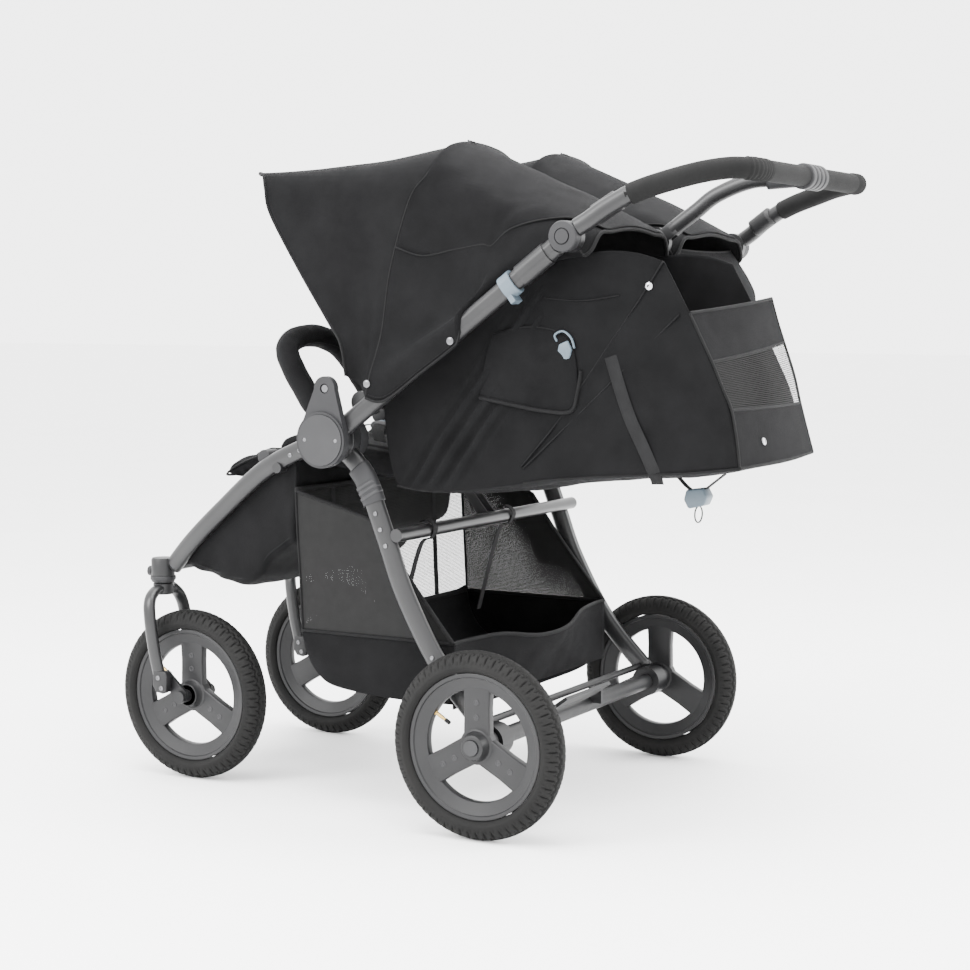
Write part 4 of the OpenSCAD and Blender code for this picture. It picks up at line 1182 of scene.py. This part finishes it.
for side in (1, -1):
    hand = sideName[side]
    backPad = paddedCopy(f"seatBackPad_{hand}", f"seat_back_{hand}", 3, quiltCloth)
    lines = [(onBack(side, 96, 60, 24), onBack(side, 84, 390, 24)),
        (onBack(side, 224, 60, 24), onBack(side, 236, 390, 24)),
             (onBack(side, 62, 292, 24), onBack(side, 258, 292, 24)),
                 (onBack(side, 96, 170, 24), onBack(side, 224, 170, 24))]
    press(backPad, channels(lines))
    keep(backPad, f"seat_back_{hand}", "cloth", f"seat_back_{hand}")
    seatPad = paddedCopy(f"seatBasePad_{hand}", f"seat_base_{hand}", 3, quiltCloth)
    lines = [(at(side * 80, -190, 623), at(side * 80, 25, 600)),
        (at(side * 190, -190, 623), at(side * 190, 25, 600)),
             (at(side * 30, -100, 622), at(side * 240, -100, 622))]
    press(seatPad, channels(lines, 4.0))
    keep(seatPad, "frame", "cloth", f"seat_base_{hand}")
    calfPad = paddedCopy(f"calfPad_{hand}", f"calf_rest_{hand}", 2, quiltCloth)
    press(calfPad, channels([(at(side * 40, -290, 585), at(side * 215, -290, 585))], 3.0))
    keep(calfPad, f"calf_rest_{hand}", "cloth", f"calf_rest_{hand}")
    calfPipe = edgeTape(path(side, (30, -232, 594), (32, -300, 571), (40, -340, 548), (130, -343, 546),
        (205, -340, 548), (212, -300, 571), (213, -232, 594)), 5)
    calfPipe.name = f"calfPipe_{hand}"
    keep(calfPipe, f"calf_rest_{hand}", "cloth")
print("cushions done")

# harness
for side in (1, -1):
    hand = sideName[side]
    backParts, baseParts = [], []
    for k in (-1, 1):
        x = 160 + k * 38
        backParts.append(strap("shoulder", [onBack(side, x, 318, 22), onBack(side, x, 312, 33),
            onBack(side, x + k * 2, 250, 36), onBack(side, x + k * 4, 170, 36),
                                            onBack(side, x - k * 6, 100, 38), onBack(side, 160 + k * 14, 62,
                                                42)], 24, webbing, onBack(side, 0, 0, 900) - onBack(side, 0,
                                                0, 0), 1.8))
        padLine = [onBack(side, x, 300, 35), onBack(side, x + k * 2, 250, 38),
            onBack(side, x + k * 4, 190, 38), onBack(side, x + k * 2, 150, 38)]
        backParts.append(tube("shoulderPad", smoothLine(padLine, 8), 42, 12, quiltCloth, (1, 0, 0), 28, 0.8,
            lambda t: 0.86 + 0.14 * math.sin(math.pi * t) ** 0.4))
        baseParts.append(strap("waist", [at(side * (160 + k * 104), 16, 622),
            at(side * (160 + k * 78), -6, 636), at(side * (160 + k * 40), -26, 642),
            at(side * (160 + k * 16), -34, 642)],
                               22, webbing, (0, 0.3, 1), 1.8))
    baseParts.append(strap("crotch", path(side, (160, -112, 624), (160, -96, 636), (160, -70, 642),
        (160, -44, 642)), 24, webbing, (0, 0, 1), 1.8))
    baseParts.append(slab("buckleBody", [(-56, 636), (-26, 636), (-22, 640), (-24, 648), (-54, 649),
        (-60, 642)], side * 160 - 19, side * 160 + 19, capPlastic, 3))
    baseParts.append(turned("buckleButton", [(0, 9), (1.5, 9), (2.4, 8), (2.4, 0)],
        at(side * 160, -40, 647.5), triggerPlastic, (0, 0, 1), 32))
    keep(joined(f"harnessShoulder_{hand}", backParts), f"seat_back_{hand}", "cloth")
    keep(joined(f"harnessWaist_{hand}", baseParts), "frame", "cloth")
print("harness done")

# bumper bars
bumper = {"round": 39, "pivotY": -106, "pivotZ": 653}
for side in (1, -1):
    hand = sideName[side]
    half = [(257, -114, 669), (257, -138, 703), (253, -170, 749), (237, -186, 775), (201, -193, 789),
        (160.5, -195, 793)]
    line = [at(side * x, y, z) for x, y, z in half] + [at(side * (321 - x), y, z) for x, y,
        z in reversed(half[:-1])]
    pad = tube(f"bumperPad_{hand}", spread(smoothLine(line, 10), 150), bumper["round"], bumper["round"],
        quiltCloth, None, 36, 1.0,
               lambda t: 1.0 - 0.1 * max(0, 1 - min(t, 1 - t) / 0.03))
    press(pad, lambda p: 0.8 * noise.noise(p * 30) + 0.5 * noise.noise(p * 70))
    keep(pad, f"bumper_bar_{hand}", "cloth", f"bumper_bar_{hand}")
    zipLine = [p + Vector((0, 0.0165, -0.0105)) for p in spread(smoothLine(line, 10), 60)][6:-6]
    trim = [tube("zip", zipLine, 4, 3, binding, None, 10)]
    for x in (64, 257):
        trim.append(turned("pivotCap", [(-12, 12.5), (-11.5, 13.6), (11.5, 13.6), (12, 12.5)],
            at(side * x, bumper["pivotY"], bumper["pivotZ"]), hubPlastic, (1, 0, 0), 40))
        trim.append(tube("pivotNeck", smoothLine([at(side * x, -108, 656), at(side * x, -114, 668),
            at(side * x, -122, 682)], 4), 25, 27, hubPlastic, (1, 0, 0), 28, 0.7))
    keep(joined(f"bumperTrim_{hand}", trim), f"bumper_bar_{hand}", "hub_plastic")
print("bumper bars done")

# footwell
stations = [(-452, 378, 388, 0.86), (-400, 428, 371, 0.95), (-340, 478, 361, 1.0), (-290, 515, 356, 1.0),
    (-250, 543, 374, 1.0), (-225, 562, 402, 1.0),
            (-185, 583, 428, 1.0), (-158, 600, 452, 1.0), (-152, 604, 520, 1.0), (-168, 606, 584, 1.0)]
legX = [219, 230, 241, 250, 258, 263, 270, 274, 274, 274]
footRows = []
for (y, top, low, wide), x in zip(stations, legX):
    x -= 13
    lowX = x - 3
    row = [(x, top), (x + 3, (top * 2 + low) / 3), (x + 2, (top + low * 2) / 3), (lowX - 2, low + 12),
        (lowX - 18, low), (lowX * 0.6, low - 3), (0, low - 4)]
    footRows.append([at(px, y, pz) for px, pz in row] + [at(-px, y, pz) for px, pz in reversed(row[:-1])])
footCloth = clothGrid("footwellCloth", footRows, canvas, 110, 8, 2.0, 3.2, 8, 31)
keep(footCloth, "frame", "cloth", "footwell")
sheetOf(footCloth)
footTrim = joined("footwellTrim", [edgeTape([row[k] for row in footRows], 4.5) for k in (0,
    -1)] + [edgeTape(footRows[0], 5)]
                  + [edgeTape([row[k] + Vector((0, 0, 0.002)) for row in footRows], 3.2) for k in (3, -4)])
keep(footTrim, "frame", "cloth")
print("footwell done")

# basket
basket = {"half": 280, "bandTop": 297, "across": (-280, -140, 0, 140, 280)}
bandFront = [(-130, 297), (-128, 282), (-124, 258), (-110, 230), (-88, 208), (-60, 198), (0, 191),
    (68, 188), (164, 189)]


def trayPoint(x, y, z):    # turns up at the sides and sags in the middle
    return at(x, y, z + (10 if abs(x) > 262 else 0) - 6 * math.sin(math.pi * (x + 280) / 560))


bottomRows = [[trayPoint(x, y, z) for x in (-280, -268, -180, -60, 60, 180, 268, 280)] for y,
    z in bandFront]
basketFloor = clothGrid("basketFloor", bottomRows, canvas, 80, 6, 2.0, 4.0, 9, 41)
keep(basketFloor, "frame", "cloth", "basket_tray")
walls = []
for side in (1, -1):
    x = side * basket["half"]
    rows = []
    for y, z in bandFront[1:]:
        rows.append([at(x, y, z + 8), at(x + side * 3, y, (z + basket["bandTop"]) / 2 + 4),
                     at(x, y, basket["bandTop"])])
    band = clothGrid(f"basketBand_{sideName[side]}", rows, canvas, 24, 8, 2.0, 3.4, 9, 43)
    walls.append(band)
    outline = [[(-130, 297), (-134, 380), (-139, 460), (-142, 534)],
        [(-70, 297), (-74, 375), (-84, 450), (-92, 520)], [(10, 297), (4, 370), (-18, 440), (-40, 507)],
               [(90, 297), (66, 355), (34, 425), (-4, 497)], [(164, 297), (120, 350), (60, 425), (12, 491)]]
    meshWall = clothGrid(f"basketNet_{sideName[side]}", plane(x, outline), denseNet, 50, 10, 1.0, 2.0, 7,
        45)
    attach(meshWall, "frame")
    sheetOf(meshWall)
    trim = [edgeTape([at(x, y, z) for y, z in outline[-1]], 9),
        edgeTape([at(x, y, z) for y, z in outline[0]], 6),
        edgeTape([at(x, row[0][0], row[0][1]) for row in outline], 8),
            edgeTape([at(x, row[-1][0], row[-1][1]) for row in outline], 7)]
    keep(joined(f"basketTrim_{sideName[side]}", trim), "frame", "cloth")


def rearBand(x, t):    # leans back and dips in the middle as it goes up
    lean = 66 if abs(x) < 100 else 30 if abs(x) < 230 else 0
    dip = 14 if abs(x) < 150 else 0
    return at(x, 164 + lean * t * 0.6, 189 + (basket["bandTop"] - 189 - dip) * t)


bandRows = [[rearBand(x, t) for x in (-280, -240, -150, -50, 50, 150, 240, 280)] for t in (0, 0.35, 0.7, 1)]
walls.append(clothGrid("basketBand_rear", bandRows, canvas, 70, 8, 2.0, 4.0, 9, 47))
for band in walls:
    keep(band, "frame", "cloth")
    sheetOf(band)
sheetOf(basketFloor)
frontNet = clothGrid("basketNet_front",
    [[at(x, -130 - 12 * t, 297 + 238 * t) for x in basket["across"]] for t in (0, 0.33, 0.66, 1)], net, 60,
    8, 1.0, 1.6, 7, 49)
keep(frontNet, "frame", "mesh_cloth", "basket_mesh")
sheetOf(frontNet)
frontTrim = [edgeTape([at(x, -131, 297) for x in basket["across"]], 12),
    edgeTape([at(x, -142, 535) for x in basket["across"]], 10)]
for x in (-170, 170):
    frontTrim.append(strap("netStrap", [at(x, -141, 533), at(x, -137, 420), at(x, -132, 298)], 14, webbing,
        (0, 1, 0)))
rearHem = edgeTape(bandRows[-1], 7)
keep(joined("basketTrim_front", frontTrim + [rearHem]), "frame", "cloth")
barStraps = []
barStrapPath = ((64, 486), (78, 490), (92, 478), (84, 460), (60, 440), (20, 300))
for x in (213, -60):
    barStraps.append(strap("barStrap", [at(x, y, z) for y, z in barStrapPath], 14, webbing, (0, 0.9, 0.4)))
keep(joined("basketStraps", barStraps), "rear_frame", "cloth")
print("basket done")
